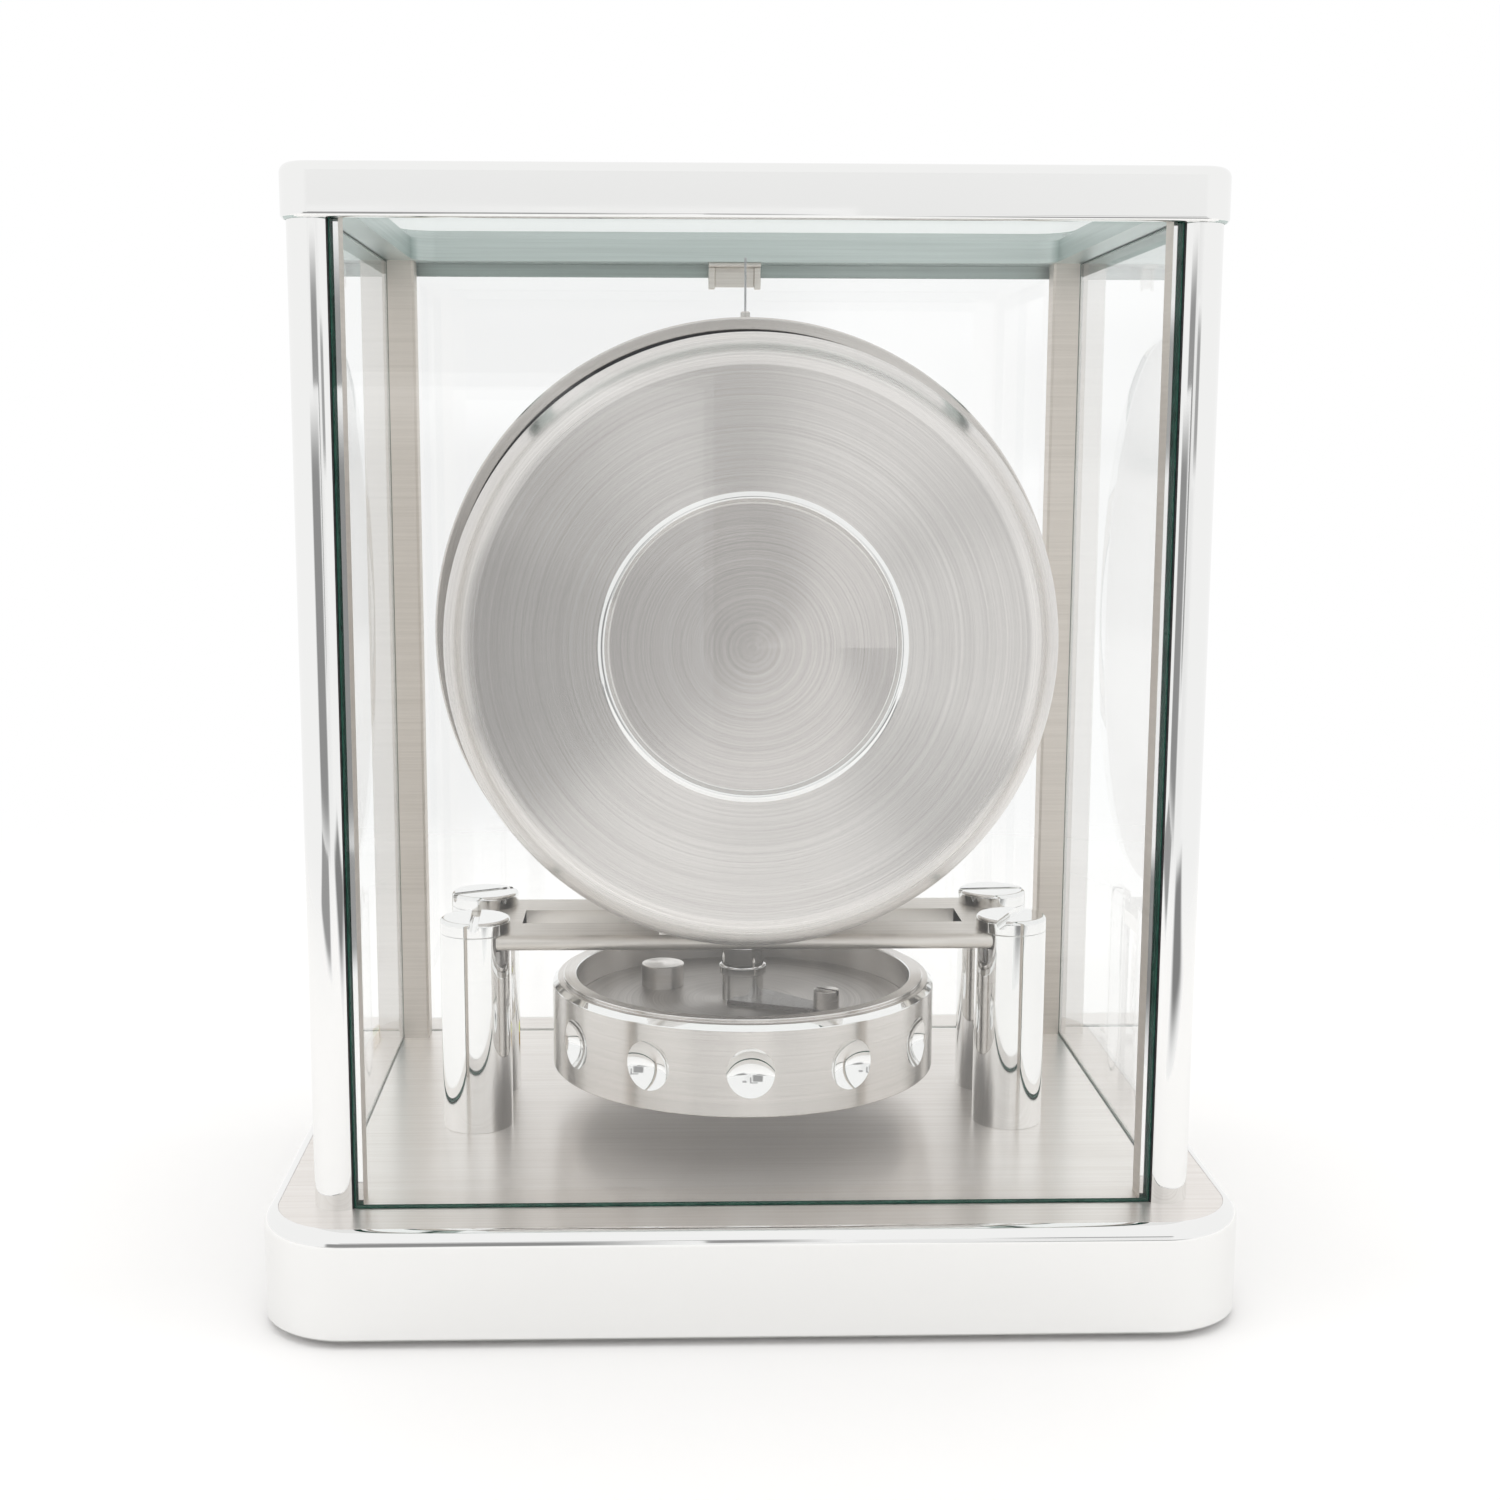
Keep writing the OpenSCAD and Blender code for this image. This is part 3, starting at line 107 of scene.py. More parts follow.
def balance_axis() -> Vector:
    """Gives the point of the balance's axis at height 0, in millimetres."""
    low, high = box_mm("balance_floor")
    return Vector((0, (low.y + high.y) / 2, 0))


def edges_of(verts: Iterable[BMVert]) -> list[BMEdge]:
    """Gives all edges that meet some vertices."""
    return list({edge for vert in verts for edge in vert.link_edges})


def runs_across(edge: BMEdge) -> bool:
    """Tells whether an edge runs along X."""
    return abs(edge.verts[0].co.x - edge.verts[1].co.x) > 1


def front_edges(edges: Iterable[BMEdge], low: Vector, high: Vector) -> list[BMEdge]:
    """Gives the edges in the front half of a box."""
    return [edge for edge in edges if all(vert.co.y < (low.y + high.y) / 2 for vert in edge.verts)]


class Axis(Enum):
    """Direction of a turned form's axis, with the direction in which its profile is drawn."""

    UP = ((0, 0, 1), (1, 0, 0))
    BACK = ((0, 1, 0), (1, 0, 0))
    ACROSS = ((1, 0, 0), (0, 0, 1))

    @property
    def along(self) -> Vector:
        """Gives the direction of the axis."""
        return Vector(self.value[0])

    @property
    def out(self) -> Vector:
        """Gives the direction of the profile's radius."""
        return Vector(self.value[1])


class Corner(NamedTuple):
    """A corner of a turned profile in millimetres."""

    radius: float
    height: float
    rounding: float = 0.0


class Stretch(NamedTuple):
    """A stretch in millimetres, from a start on the piece's own body to an end on another one."""

    body: str
    start: Vector
    end: Vector


class Rim(NamedTuple):
    """A level outline with round corners, in millimetres."""

    half_x: float
    half_y: float
    corner: float
    height: float


def quarter_round(radius: float, steps: int) -> list[tuple[float, float]]:
    """Gives a quarter round as pairs of inset and rise.

    Args:
        radius: Radius in millimetres.
        steps: Number of straight stretches.

    Returns:
        Points from the upright side (inset 0, rise 0) to the level top.
    """
    angles = [math.pi / 2 * i / steps for i in range(steps + 1)]
    return [(radius * (1 - math.cos(a)), radius * math.sin(a)) for a in angles]


class Mould:
    """A piece under construction: a bmesh in millimetres that operators shape."""

    def __init__(self) -> None:
        """Starts with an empty mesh that has the lay's UV map."""
        self.mesh = bmesh.new()
        self.mesh.loops.layers.uv.new(LAY)
        self.mesh.verts.layers.float.new("along")

    def wire(self, points: Sequence[Vector], roundings: Sequence[float], closed: bool,
             segments: int = 8) -> list[BMVert]:
        """Joins points by edges and rounds the corners between them.

        Args:
            points: The corners in order.
            roundings: Rounding of each corner, 0 for a sharp one.
            closed: Whether the last point joins the first.
            segments: Number of stretches in a rounding.

        Returns:
            All vertices of the wire.
        """
        before = set(self.mesh.verts)
        corners = [self.mesh.verts.new(point) for point in points]
        for first, second in zip(corners, corners[1:]):
            self.mesh.edges.new((first, second))
        if closed:
            self.mesh.edges.new((corners[-1], corners[0]))
        for corner, rounding in zip(corners, roundings):
            if rounding > 0:
                bmesh.ops.bevel(self.mesh, geom=[corner], offset=rounding, offset_type="OFFSET",
                                segments=segments, profile=0.5, affect="VERTICES", material=-1)
        return [vert for vert in self.mesh.verts if vert not in before]

    def measure(self, verts: Sequence[BMVert], start: Vector) -> None:
        """Writes on each vertex of a wire how far along the wire it lies.

        Args:
            verts: The wire's vertices.
            start: The point that the wire starts at, or the nearest one to it.
        """
        layer = self.mesh.verts.layers.float["along"]
        here = min(verts, key=lambda vert: (vert.co - start).length)
        seen = {here}
        here[layer] = 0.0
        while True:
            ahead = [edge.other_vert(here) for edge in here.link_edges]
            ahead = [vert for vert in ahead if vert not in seen]
            if not ahead:
                return
            ahead[0][layer] = here[layer] + (ahead[0].co - here.co).length
            here = ahead[0]
            seen.add(here)

    def turn(self, corners: Sequence[Corner], centre: Vector, axis: Axis = Axis.UP, steps: int = 128,
             segments: int = 8) -> "Mould":
        """Spins a profile a full turn. A profile that doesn't end on the axis is closed first.

        Args:
            corners: The profile's corners in order.
            centre: Where the axis has height 0.
            axis: Direction of the axis.
            steps: Number of stretches in the turn.
            segments: Number of stretches in a rounding.

        Returns:
            The mould.
        """
        before = set(self.mesh.faces)
        closed = corners[0].radius > 0 or corners[-1].radius > 0
        points = [centre + axis.out * c.radius + axis.along * c.height for c in corners]
        verts = self.wire(points, [c.rounding for c in corners], closed, segments)
        self.measure(verts, points[0])
        old = set(self.mesh.verts) - set(verts)
        bmesh.ops.spin(self.mesh, geom=verts + edges_of(verts), cent=centre, axis=axis.along, dvec=(0, 0, 0),
                       angle=FULL_TURN, steps=steps, use_merge=True, use_normal_flip=False,
                       use_duplicate=False)
        fresh = [vert for vert in self.mesh.verts if vert not in old]
        bmesh.ops.remove_doubles(self.mesh, verts=fresh, dist=WELD_MM)
        faces = [face for face in self.mesh.faces if face not in before]
        bmesh.ops.recalc_face_normals(self.mesh, faces=faces)
        self.lay_turned(faces, centre, axis)
        return self

    def rod(self, radius: float, low: float, high: float, centre: Vector, axis: Axis = Axis.UP,
            edges: tuple[float, float] = (0.0, 0.0), steps: int = 128, segments: int = 8) -> "Mould":
        """Turns a plain round bar between two heights, with its lower and upper edge rounded."""
        profile = [Corner(0, low), Corner(radius, low, edges[0]), Corner(radius, high, edges[1]),
                   Corner(0, high)]
        return self.turn(profile, centre, axis, steps, segments)

    def lay_turned(self, faces: Iterable[BMFace], centre: Vector, axis: Axis) -> None:
        """Writes the lay of turned faces: along the profile first, round the axis second.

        Args:
            faces: The turned faces.
            centre: A point on the axis.
            axis: Direction of the axis.
        """
        uv = self.mesh.loops.layers.uv[LAY]
        layer = self.mesh.verts.layers.float["along"]
        side = axis.along.cross(axis.out)
        for face in faces:
            middle = face.calc_center_median() - centre
            facing = math.atan2(middle.dot(side), middle.dot(axis.out))
            for loop in face.loops:
                spoke = loop.vert.co - centre
                angle = math.atan2(spoke.dot(side), spoke.dot(axis.out)) - facing
                angle = facing + (angle + math.pi) % FULL_TURN - math.pi
                loop[uv].uv = (loop.vert[layer] * MM, angle / FULL_TURN)

    def lay_flat(self, across: Axis) -> "Mould":
        """Writes a straight lay on all faces, with its lines along X.

        Args:
            across: Direction across the lines.

        Returns:
            The mould.
        """
        uv = self.mesh.loops.layers.uv[LAY]
        for face in self.mesh.faces:
            for loop in face.loops:
                loop[uv].uv = (loop.vert.co.dot(across.along) * MM, loop.vert.co.x * MM)
        return self

    def stack(self, rims: Sequence[Rim], ring: bool = False, segments: int = 16) -> "Mould":
        """Bridges level outlines in order into one closed skin.

        Args:
            rims: The outlines.
            ring: Whether the last outline joins the first. Otherwise both ends get a flat face.
            segments: Number of stretches in a corner.

        Returns:
            The mould.
        """
        before = set(self.mesh.faces)
        loops = []
        for i, rim in enumerate(rims):
            points = [Vector((x * rim.half_x, y * rim.half_y, rim.height - i * HAIR_MM))
                      for x, y in ((1, 1), (-1, 1), (-1, -1), (1, -1))]
            verts = self.wire(points, [rim.corner] * 4, True, segments)
            loops.append(edges_of(verts))
        for lower, upper in zip(loops, loops[1:]):
            bmesh.ops.bridge_loops(self.mesh, edges=lower + upper)
        if ring:
            bmesh.ops.bridge_loops(self.mesh, edges=loops[-1] + loops[0])
        else:
            for end in (loops[0], loops[-1]):
                bmesh.ops.edgeloop_fill(self.mesh, edges=end)
        faces = [face for face in self.mesh.faces if face not in before]
        bmesh.ops.recalc_face_normals(self.mesh, faces=faces)
        return self

    def block(self, low: Vector, high: Vector, bevel: float = 0.0, segments: int = 3) -> list[BMEdge]:
        """Adds a block with bevelled edges.

        Args:
            low: Its lowest corner.
            high: Its highest corner.
            bevel: Width of the bevel on all edges, 0 for none.
            segments: Number of stretches in the bevel.

        Returns:
            The block's edges, where it has no bevel yet.
        """
        place = Matrix.Translation((low + high) / 2) @ Matrix.Diagonal((*(high - low), 1))
        made = bmesh.ops.create_cube(self.mesh, size=1, matrix=place)
        edges = edges_of(made["verts"])
        if bevel > 0:
            self.round_edges(edges, bevel, segments)
            return []
        return edges

    def round_edges(self, edges: Sequence[BMEdge], width: float, segments: int) -> None:
        """Rounds edges by a width in millimetres."""
        bmesh.ops.bevel(self.mesh, geom=list(edges), offset=width, offset_type="OFFSET", segments=segments,
                        profile=0.5, affect="EDGES", material=-1)

    def arc(self, start: Vector, centre: Vector, angle: float, steps: int) -> tuple[BMVert, BMVert]:
        """Adds a level arc of edges.

        Args:
            start: Where the arc starts.
            centre: The arc's centre.
            angle: How far it turns, in radians.
            steps: Number of stretches.

        Returns:
            The arc's first and last vertex.
        """
        first = self.mesh.verts.new(start)
        made = bmesh.ops.spin(self.mesh, geom=[first], cent=centre, axis=(0, 0, 1), dvec=(0, 0, 0),
                              angle=angle, steps=steps, use_merge=False, use_normal_flip=False,
                              use_duplicate=False)
        return first, next(part for part in made["geom_last"] if isinstance(part, BMVert))

    def raise_face(self, edges: Sequence[BMEdge], travel: Vector) -> None:
        """Fills an outline and draws it out into a solid.

        Args:
            edges: The closed outline.
            travel: How far and which way it is drawn out.
        """
        filled = bmesh.ops.contextual_create(self.mesh, geom=list(edges))["faces"]
        made = bmesh.ops.extrude_face_region(self.mesh, geom=filled, use_keep_orig=True)["geom"]
        verts = [part for part in made if isinstance(part, BMVert)]
        bmesh.ops.translate(self.mesh, verts=verts, vec=travel)
        bmesh.ops.recalc_face_normals(self.mesh, faces=self.mesh.faces[:])

    def move(self, matrix: Matrix) -> "Mould":
        """Moves the whole mould and returns it."""
        bmesh.ops.transform(self.mesh, matrix=matrix, verts=self.mesh.verts[:])
        return self

    def join(self, other: "Mould") -> "Mould":
        """Takes another mould's shape in as loose pieces.

        Args:
            other: The other mould.

        Returns:
            The mould.
        """
        copy = bpy.data.meshes.new("join")
        other.mesh.to_mesh(copy)
        self.mesh.from_mesh(copy)
        bpy.data.meshes.remove(copy)
        return self

    def carve(self, cutter: "Mould", finish: int = 0) -> "Mould":
        """Cuts another mould's shape out of this one.

        Args:
            cutter: The shape that is cut away.
            finish: Which of the piece's finishes the cut faces get.

        Returns:
            The mould.
        """
        for face in cutter.mesh.faces:
            face.material_index = finish
            face.smooth = True
        blanks = []
        for mould in (self, cutter):
            mesh = bpy.data.meshes.new("carve")
            mould.mesh.to_mesh(mesh)
            # The cut keeps a face's finish only where both blanks have that many slots
            mesh.materials.append(None)
            mesh.materials.append(None)
            blanks.append(bpy.data.objects.new("carve", mesh))
            bpy.context.scene.collection.objects.link(blanks[-1])
        cut = blanks[0].modifiers.new("cut", "BOOLEAN")
        cut.object = blanks[1]
        cut.operation = "DIFFERENCE"
        cut.solver = "EXACT"
        carved = bmesh.new()
        carved.from_object(blanks[0], bpy.context.evaluated_depsgraph_get())
        self.mesh.free()
        self.mesh = carved
        for blank in blanks:
            bpy.data.meshes.remove(blank.data)
        return self

    def finish_where(self, finish: int, test: Callable[[BMFace], bool]) -> None:
        """Gives one of the piece's finishes to the faces that pass a test.

        Args:
            finish: Number of the finish.
            test: Tells whether a face gets it.
        """
        for face in self.mesh.faces:
            if test(face):
                face.material_index = finish

    def take(self, node: str) -> "Mould":
        """Takes a copy of a CAD node's form and merges its loose triangles.

        Args:
            node: Name of the CAD node.

        Returns:
            The mould.
        """
        self.mesh.from_mesh(frame["nodes"][node].data)
        bmesh.ops.scale(self.mesh, vec=(1 / MM, 1 / MM, 1 / MM), verts=self.mesh.verts[:])
        bmesh.ops.remove_doubles(self.mesh, verts=self.mesh.verts[:], dist=MM)
        return self

    def cast(self, name: str, node: str, stands_for: bool = True,
             stretch: Stretch | None = None) -> bpy.types.Object:
        """Makes the mould a piece in metres that rides on the body of a CAD node.

        Args:
            name: Name of the piece.
            node: The CAD node that it stands for, or sits on.
            stands_for: Whether the piece hides the CAD node.
            stretch: The other body that it reaches to, if it stretches.

        Returns:
            The piece.
        """
        bmesh.ops.scale(self.mesh, vec=(MM, MM, MM), verts=self.mesh.verts[:])
        mesh = bpy.data.meshes.new(name)
        self.mesh.to_mesh(mesh)
        self.mesh.free()
        mesh.shade_smooth()
        mesh.set_sharp_from_angle(angle=SHARP_ANGLE)
        piece = bpy.data.objects.new(name, mesh)
        bpy.context.scene.collection.objects.link(piece)
        weighted = piece.modifiers.new("weighted_normals", "WEIGHTED_NORMAL")
        weighted.keep_sharp = True
        weighted.weight = STRONG_FACES
        if stretch:
            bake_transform(piece, body_of(node), stretch.body, stretch.start * MM, stretch.end * MM)
        else:
            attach(piece, body_of(node))
        if stands_for:
            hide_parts(node)
        log.info("%s: %d faces, on %s", name, len(mesh.polygons), body_of(node))
        return piece


def linear(colour: str) -> tuple[float, float, float, float]:
    """Turns an sRGB hex colour into linear values.

    Args:
        colour: Six hex digits.

    Returns:
        Red, green, blue and alpha.
    """
    parts = [int(colour[i:i + 2], 16) / 255 for i in (0, 2, 4)]
    red, green, blue = (p / 12.92 if p <= 0.04045 else ((p + 0.055) / 1.055) ** 2.4 for p in parts)
    return red, green, blue, 1.0


NodeInput = bpy.types.NodeSocket | float | tuple[float, ...]


def add_node(tree: bpy.types.NodeTree, kind: str, inputs: dict[str | int, NodeInput] | None = None,
             **settings: str) -> bpy.types.Node:
    """Adds a node with its settings and links.

    Args:
        tree: The node tree.
        kind: The node's type.
        inputs: Values or output sockets by input name or number.
        settings: The node's own properties.

    Returns:
        The node.
    """
    node = tree.nodes.new(kind)
    for name, value in settings.items():
        setattr(node, name, value)
    for name, value in (inputs or {}).items():
        if isinstance(value, bpy.types.NodeSocket):
            tree.links.new(value, node.inputs[name])
        else:
            node.inputs[name].default_value = value
    return node


@dataclass(frozen=True)
class Finish(ABC):
    """A surface finish that makes one material."""

    name: str

    @cache
    def material(self) -> bpy.types.Material:
        """Gives the finish's material, which is made once.

        Returns:
            The material.
        """
        made = bpy.data.materials.new(self.name)
        made.use_nodes = True
        made.node_tree.nodes.clear()
        output = add_node(made.node_tree, "ShaderNodeOutputMaterial")
        self.draw(made.node_tree, output)
        return made

    @abstractmethod
    def draw(self, tree: bpy.types.NodeTree, output: bpy.types.Node) -> None:
        """Draws the finish's nodes and links them to the material's output.

        Args:
            tree: The material's nodes.
            output: The material's output.
        """


@dataclass(frozen=True)
class Patterned(Finish):
    """A finish whose colour, gloss and height follow one pattern."""

    # Values of the pattern between which the gloss changes
    gloss_range: ClassVar[tuple[float, float]] = (0.3, 0.7)
    # Values of the pattern at which the dark and the light colour are reached
    colour_range: ClassVar[tuple[float, float]]
    # Shares of the roughness at the low and the high end of the pattern
    gloss_shares: ClassVar[tuple[float, float]]
    # Strength of the bump
    relief: ClassVar[float]

    colour: str
    roughness: float
    dark: str = ""
    depth_mm: float = 0.02

    def shade(self, tree: bpy.types.NodeTree, output: bpy.types.Node, pattern: bpy.types.NodeSocket,
              inputs: dict[str | int, NodeInput]) -> None:
        """Draws the shader that follows a pattern. A finish with no dark colour has one colour all over.

        Args:
            tree: The material's nodes.
            output: The material's output.
            pattern: The pattern, from 0 to 1.
            inputs: The shader's other inputs.
        """
        base = linear(self.colour)
        if self.dark:
            ramp = add_node(tree, "ShaderNodeValToRGB", {"Fac": pattern})
            ends = zip(ramp.color_ramp.elements, self.colour_range, (self.dark, self.colour))
            for element, place, colour in ends:
                element.position = place
                element.color = linear(colour)
            base = ramp.outputs["Color"]
        least, most = self.gloss_range
        low, high = self.gloss_shares
        gloss = add_node(tree, "ShaderNodeMapRange",
                         {"Value": pattern, "From Min": least, "From Max": most,
                          "To Min": self.roughness * low, "To Max": self.roughness * high})
        bump = add_node(tree, "ShaderNodeBump",
                        {"Height": pattern, "Strength": self.relief, "Distance": self.depth_mm * MM})
        shader = add_node(tree, "ShaderNodeBsdfPrincipled",
                          {"Base Color": base, "Roughness": gloss.outputs["Result"],
                           "Normal": bump.outputs["Normal"], **inputs})
        tree.links.new(shader.outputs["BSDF"], output.inputs["Surface"])


@dataclass(frozen=True)
class LinedMetal(Patterned):
    """Brushed or turned metal: fine lines that spread a reflection across themselves."""

    colour_range: ClassVar[tuple[float, float]] = (0.3, 0.62)
    gloss_shares: ClassVar[tuple[float, float]] = (1.1, 0.92)
    relief: ClassVar[float] = 0.5

    depth_mm: float = 0.002
    spread: float = 0.8
    line_mm: float = 0.3
    run_mm: float = 14.0

    def draw(self, tree: bpy.types.NodeTree, output: bpy.types.Node) -> None:
        """Draws lines across the lay that change colour, gloss and height.

        Args:
            tree: The material's nodes.
            output: The material's output.
        """
        lay = add_node(tree, "ShaderNodeUVMap", uv_map=LAY)
        across = add_node(tree, "ShaderNodeSeparateXYZ", {"Vector": lay.outputs["UV"]})
        place = add_node(tree, "ShaderNodeMath", {0: across.outputs["X"], 1: 1 / (self.line_mm * MM)},
                         operation="MULTIPLY")
        spot = add_node(tree, "ShaderNodeTexCoord")
        run = 1 / (self.run_mm * MM)
        slow = add_node(tree, "ShaderNodeMapping",
                        {"Vector": spot.outputs["Object"], "Scale": (run, run, run)})
        lines = add_node(tree, "ShaderNodeTexNoise",
                         {"Vector": slow.outputs["Vector"], "W": place.outputs["Value"], "Scale": 1.0,
                          "Detail": 3.0, "Roughness": 0.65}, noise_dimensions="4D")
        tangent = add_node(tree, "ShaderNodeTangent", direction_type="UV_MAP", uv_map=LAY)
        self.shade(tree, output, lines.outputs["Fac"],
                   {"Metallic": 1.0, "Anisotropic": self.spread, "Tangent": tangent.outputs["Tangent"]})


@dataclass(frozen=True)
class PolishedMetal(Patterned):
    """Polished and plated metal: a clear mirror with faint wipe marks."""

    gloss_shares: ClassVar[tuple[float, float]] = (0.6, 1.5)
    relief: ClassVar[float] = 0.3

    colour: str = "F0F0EF"
    roughness: float = 0.04
    depth_mm: float = 0.0004
    wipe_mm: float = 18.0

    def draw(self, tree: bpy.types.NodeTree, output: bpy.types.Node) -> None:
        """Draws wide soft marks that change gloss and height a little.

        Args:
            tree: The material's nodes.
            output: The material's output.
        """
        spot = add_node(tree, "ShaderNodeTexCoord")
        wipes = add_node(tree, "ShaderNodeTexNoise",
                         {"Vector": spot.outputs["Object"], "Scale": 1 / (self.wipe_mm * MM), "Detail": 4.0,
                          "Roughness": 0.6})
        self.shade(tree, output, wipes.outputs["Fac"], {"Metallic": 1.0})


@dataclass(frozen=True)
class GrainedSurface(Patterned):
    """A machined, matt or moulded surface: fine grain all over, metal or not."""

    colour_range: ClassVar[tuple[float, float]] = (0.32, 0.6)
    gloss_shares: ClassVar[tuple[float, float]] = (1.2, 0.85)
    relief: ClassVar[float] = 0.4

    metallic: float = 1.0
    grain_mm: float = 0.6
    stretch: tuple[float, float, float] = (1.0, 1.0, 1.0)
    sheen: float = 0.5

    def draw(self, tree: bpy.types.NodeTree, output: bpy.types.Node) -> None:
        """Draws a fine noise that changes colour, gloss and height.

        Args:
            tree: The material's nodes.
            output: The material's output.
        """
        spot = add_node(tree, "ShaderNodeTexCoord")
        place = add_node(tree, "ShaderNodeMapping", {"Vector": spot.outputs["Object"], "Scale": self.stretch})
        grain = add_node(tree, "ShaderNodeTexNoise",
                         {"Vector": place.outputs["Vector"], "Scale": 1 / (self.grain_mm * MM), "Detail": 3.0,
                          "Roughness": 0.6})
        self.shade(tree, output, grain.outputs["Fac"],
                   {"Metallic": self.metallic, "Specular IOR Level": self.sheen})


@dataclass(frozen=True)
class ClearGlass(Finish):
    """Float glass: clear through its thickness, green along its length."""

    tint: str = "B4E0CF"
    density: float = 4.0
    ior: float = 1.52
    smear_mm: float = 60.0
    smear: float = 0.012
    # Share of the light that passes with no reflection
    bare: float = 0.0

    def draw(self, tree: bpy.types.NodeTree, output: bpy.types.Node) -> None:
        """Draws glass that absorbs with length and lets lamps and mirrored light straight through.

        Args:
            tree: The material's nodes.
            output: The material's output.
        """
        spot = add_node(tree, "ShaderNodeTexCoord")
        smear = add_node(tree, "ShaderNodeTexNoise",
                         {"Vector": spot.outputs["Object"], "Scale": 1 / (self.smear_mm * MM), "Detail": 2.0})
        gloss = add_node(tree, "ShaderNodeMapRange",
                         {"Value": smear.outputs["Fac"], "To Min": 0.0, "To Max": self.smear})
        glass = add_node(tree, "ShaderNodeBsdfPrincipled",
                         {"Base Color": (1.0, 1.0, 1.0, 1.0), "Transmission Weight": 1.0, "IOR": self.ior,
                          "Roughness": gloss.outputs["Result"]})
        through = add_node(tree, "ShaderNodeBsdfTransparent")
        path = add_node(tree, "ShaderNodeLightPath")
        lit = add_node(tree, "ShaderNodeMath",
                       {0: path.outputs["Is Shadow Ray"], 1: path.outputs["Is Reflection Ray"]},
                       operation="MAXIMUM")
        if self.bare:
            lit = add_node(tree, "ShaderNodeMath", {0: lit.outputs["Value"], 1: self.bare},
                           operation="MAXIMUM")
        mixed = add_node(tree, "ShaderNodeMixShader",
                         {0: lit.outputs["Value"], 1: glass.outputs["BSDF"], 2: through.outputs["BSDF"]})
        inside = add_node(tree, "ShaderNodeVolumeAbsorption",
                          {"Color": linear(self.tint), "Density": self.density})
        tree.links.new(mixed.outputs["Shader"], output.inputs["Surface"])
        tree.links.new(inside.outputs["Volume"], output.inputs["Volume"])


# Bright plated nickel, buffed: a cool white mirror with the room in it
POLISHED_NICKEL = PolishedMetal("buffed_nickel_plate")
# Nickel brushed lengthwise with a fine belt: straight lines that pull reflections out across them. The real
# lines are about 0.1 mm apart and are drawn far wider, so that they show on the foreshortened deck
BRUSHED_NICKEL = LinedMetal("belt_brushed_nickel", colour="F4F0EC", dark="EAE5E0", roughness=0.36, spread=0.9,
                            line_mm=0.9, run_mm=60.0)
# The same brushing on the small plates, drawn less wide
BRUSHED_PLATE = LinedMetal("brushed_nickel_plate", colour="E6E2DC", dark="D6D1CA", roughness=0.3, spread=0.9,
                           line_mm=0.7, run_mm=30.0)
# Nickel faced on the lathe with a fine tool: rings too fine to part, with a soft spread
TURNED_NICKEL = LinedMetal("turned_nickel", colour="D9D5D1", dark="CDC9C4", roughness=0.25, spread=0.95,
                           line_mm=0.2, run_mm=160.0, depth_mm=0.0006)
# The balance's floor: a satin that hardly mirrors, whose darker colour is painted shade from the pieces above
# it
SHADED_SATIN_NICKEL = LinedMetal("satin_nickel_painted_shade", colour="BDB9B5", dark="ABA7A3", roughness=0.4, spread=0.6,
                          line_mm=0.35, run_mm=60.0)
# The columns' inner sides: a satin whose warmer, darker grey is painted shade and dark reflection from inside
# the case
SHADED_INNER_NICKEL = LinedMetal("inner_nickel_painted_shade", colour="DAD3CB", dark="D3CCC4", roughness=0.55, spread=0.0,
                          line_mm=0.5, run_mm=40.0)
# The frame's inner sides and underside: a satin whose darker, cooler grey is painted shade
SHADED_UNDER_NICKEL = LinedMetal("under_nickel_painted_shade", colour="C3CECB", dark="B7C2BF", roughness=0.4, spread=0.4,
                         line_mm=0.8, run_mm=60.0)
# Blued and then wiped steel: the dark grey of the timing arm
GREY_STEEL = GrainedSurface("grey_steel", colour="908D8B", dark="7B7876", roughness=0.3, grain_mm=0.5)
# Stainless steel sheet, spun and brushed in rings: wide fans of light from the middle
SPUN_STEEL = LinedMetal("spun_stainless_steel", colour="DEDBD8", dark="CBC7C4", roughness=0.21, spread=1.0,
                        line_mm=0.28, run_mm=90.0, depth_mm=0.0004)
# The same sheet on the rolled edge, a little brighter: a painted highlight
HIGHLIT_ROLL_STEEL = LinedMetal("rolled_steel_painted_highlight", colour="E9E6E3", dark="D6D2CF", roughness=0.26,
                          spread=0.95, line_mm=0.28, run_mm=90.0, depth_mm=0.0004)
# The same sheet in the sunk middle, a little darker: painted shade in the recess
SHADED_RECESS_STEEL = LinedMetal("recess_steel_painted_shade", colour="D3CFCC", dark="C0BCB9", roughness=0.22, spread=1.0,
                        line_mm=0.28, run_mm=90.0, depth_mm=0.0004)
# Float glass with polished edges: nearly unseen face on, sea green at its edges
FLOAT_GLASS = ClearGlass("float_glass")
# The same glass with a coat against glare, for the top pane: hardly a mirror even at a low angle
COATED_GLASS = ClearGlass("coated_float_glass", bare=0.85)
# The cut and ground edge of float glass: deep sea green, since it is seen through the pane's whole width
GLASS_EDGE = GrainedSurface("float_glass_edge", colour="2C5448", dark="1A3A32", roughness=0.3, metallic=0.0,
                            grain_mm=6.0, depth_mm=0.01, sheen=0.05)
# Rolled brass plate with a fine gilt grain: warm and soft
GILT_BRASS = GrainedSurface("gilt_brass", colour="D9B66A", dark="B08A45", roughness=0.3, grain_mm=0.5)
# Ground tool steel: grey with a dull shine
GROUND_STEEL = GrainedSurface("ground_steel", colour="C4C4C6", dark="A2A2A5", roughness=0.28, grain_mm=0.4)
# Steel with a black oxide skin: nearly black, with a faint oily sheen
BLACKED_STEEL = GrainedSurface("blacked_steel", colour="35353A", dark="222226", roughness=0.38, metallic=0.8,
                               grain_mm=0.5)
# Pressed nickel silver: the pieces inside that only glint
NICKEL_SILVER = GrainedSurface("nickel_silver", colour="D5D2CC", dark="B9B5AF", roughness=0.25, grain_mm=0.5,
                               stretch=(0.1, 1.0, 1.0))
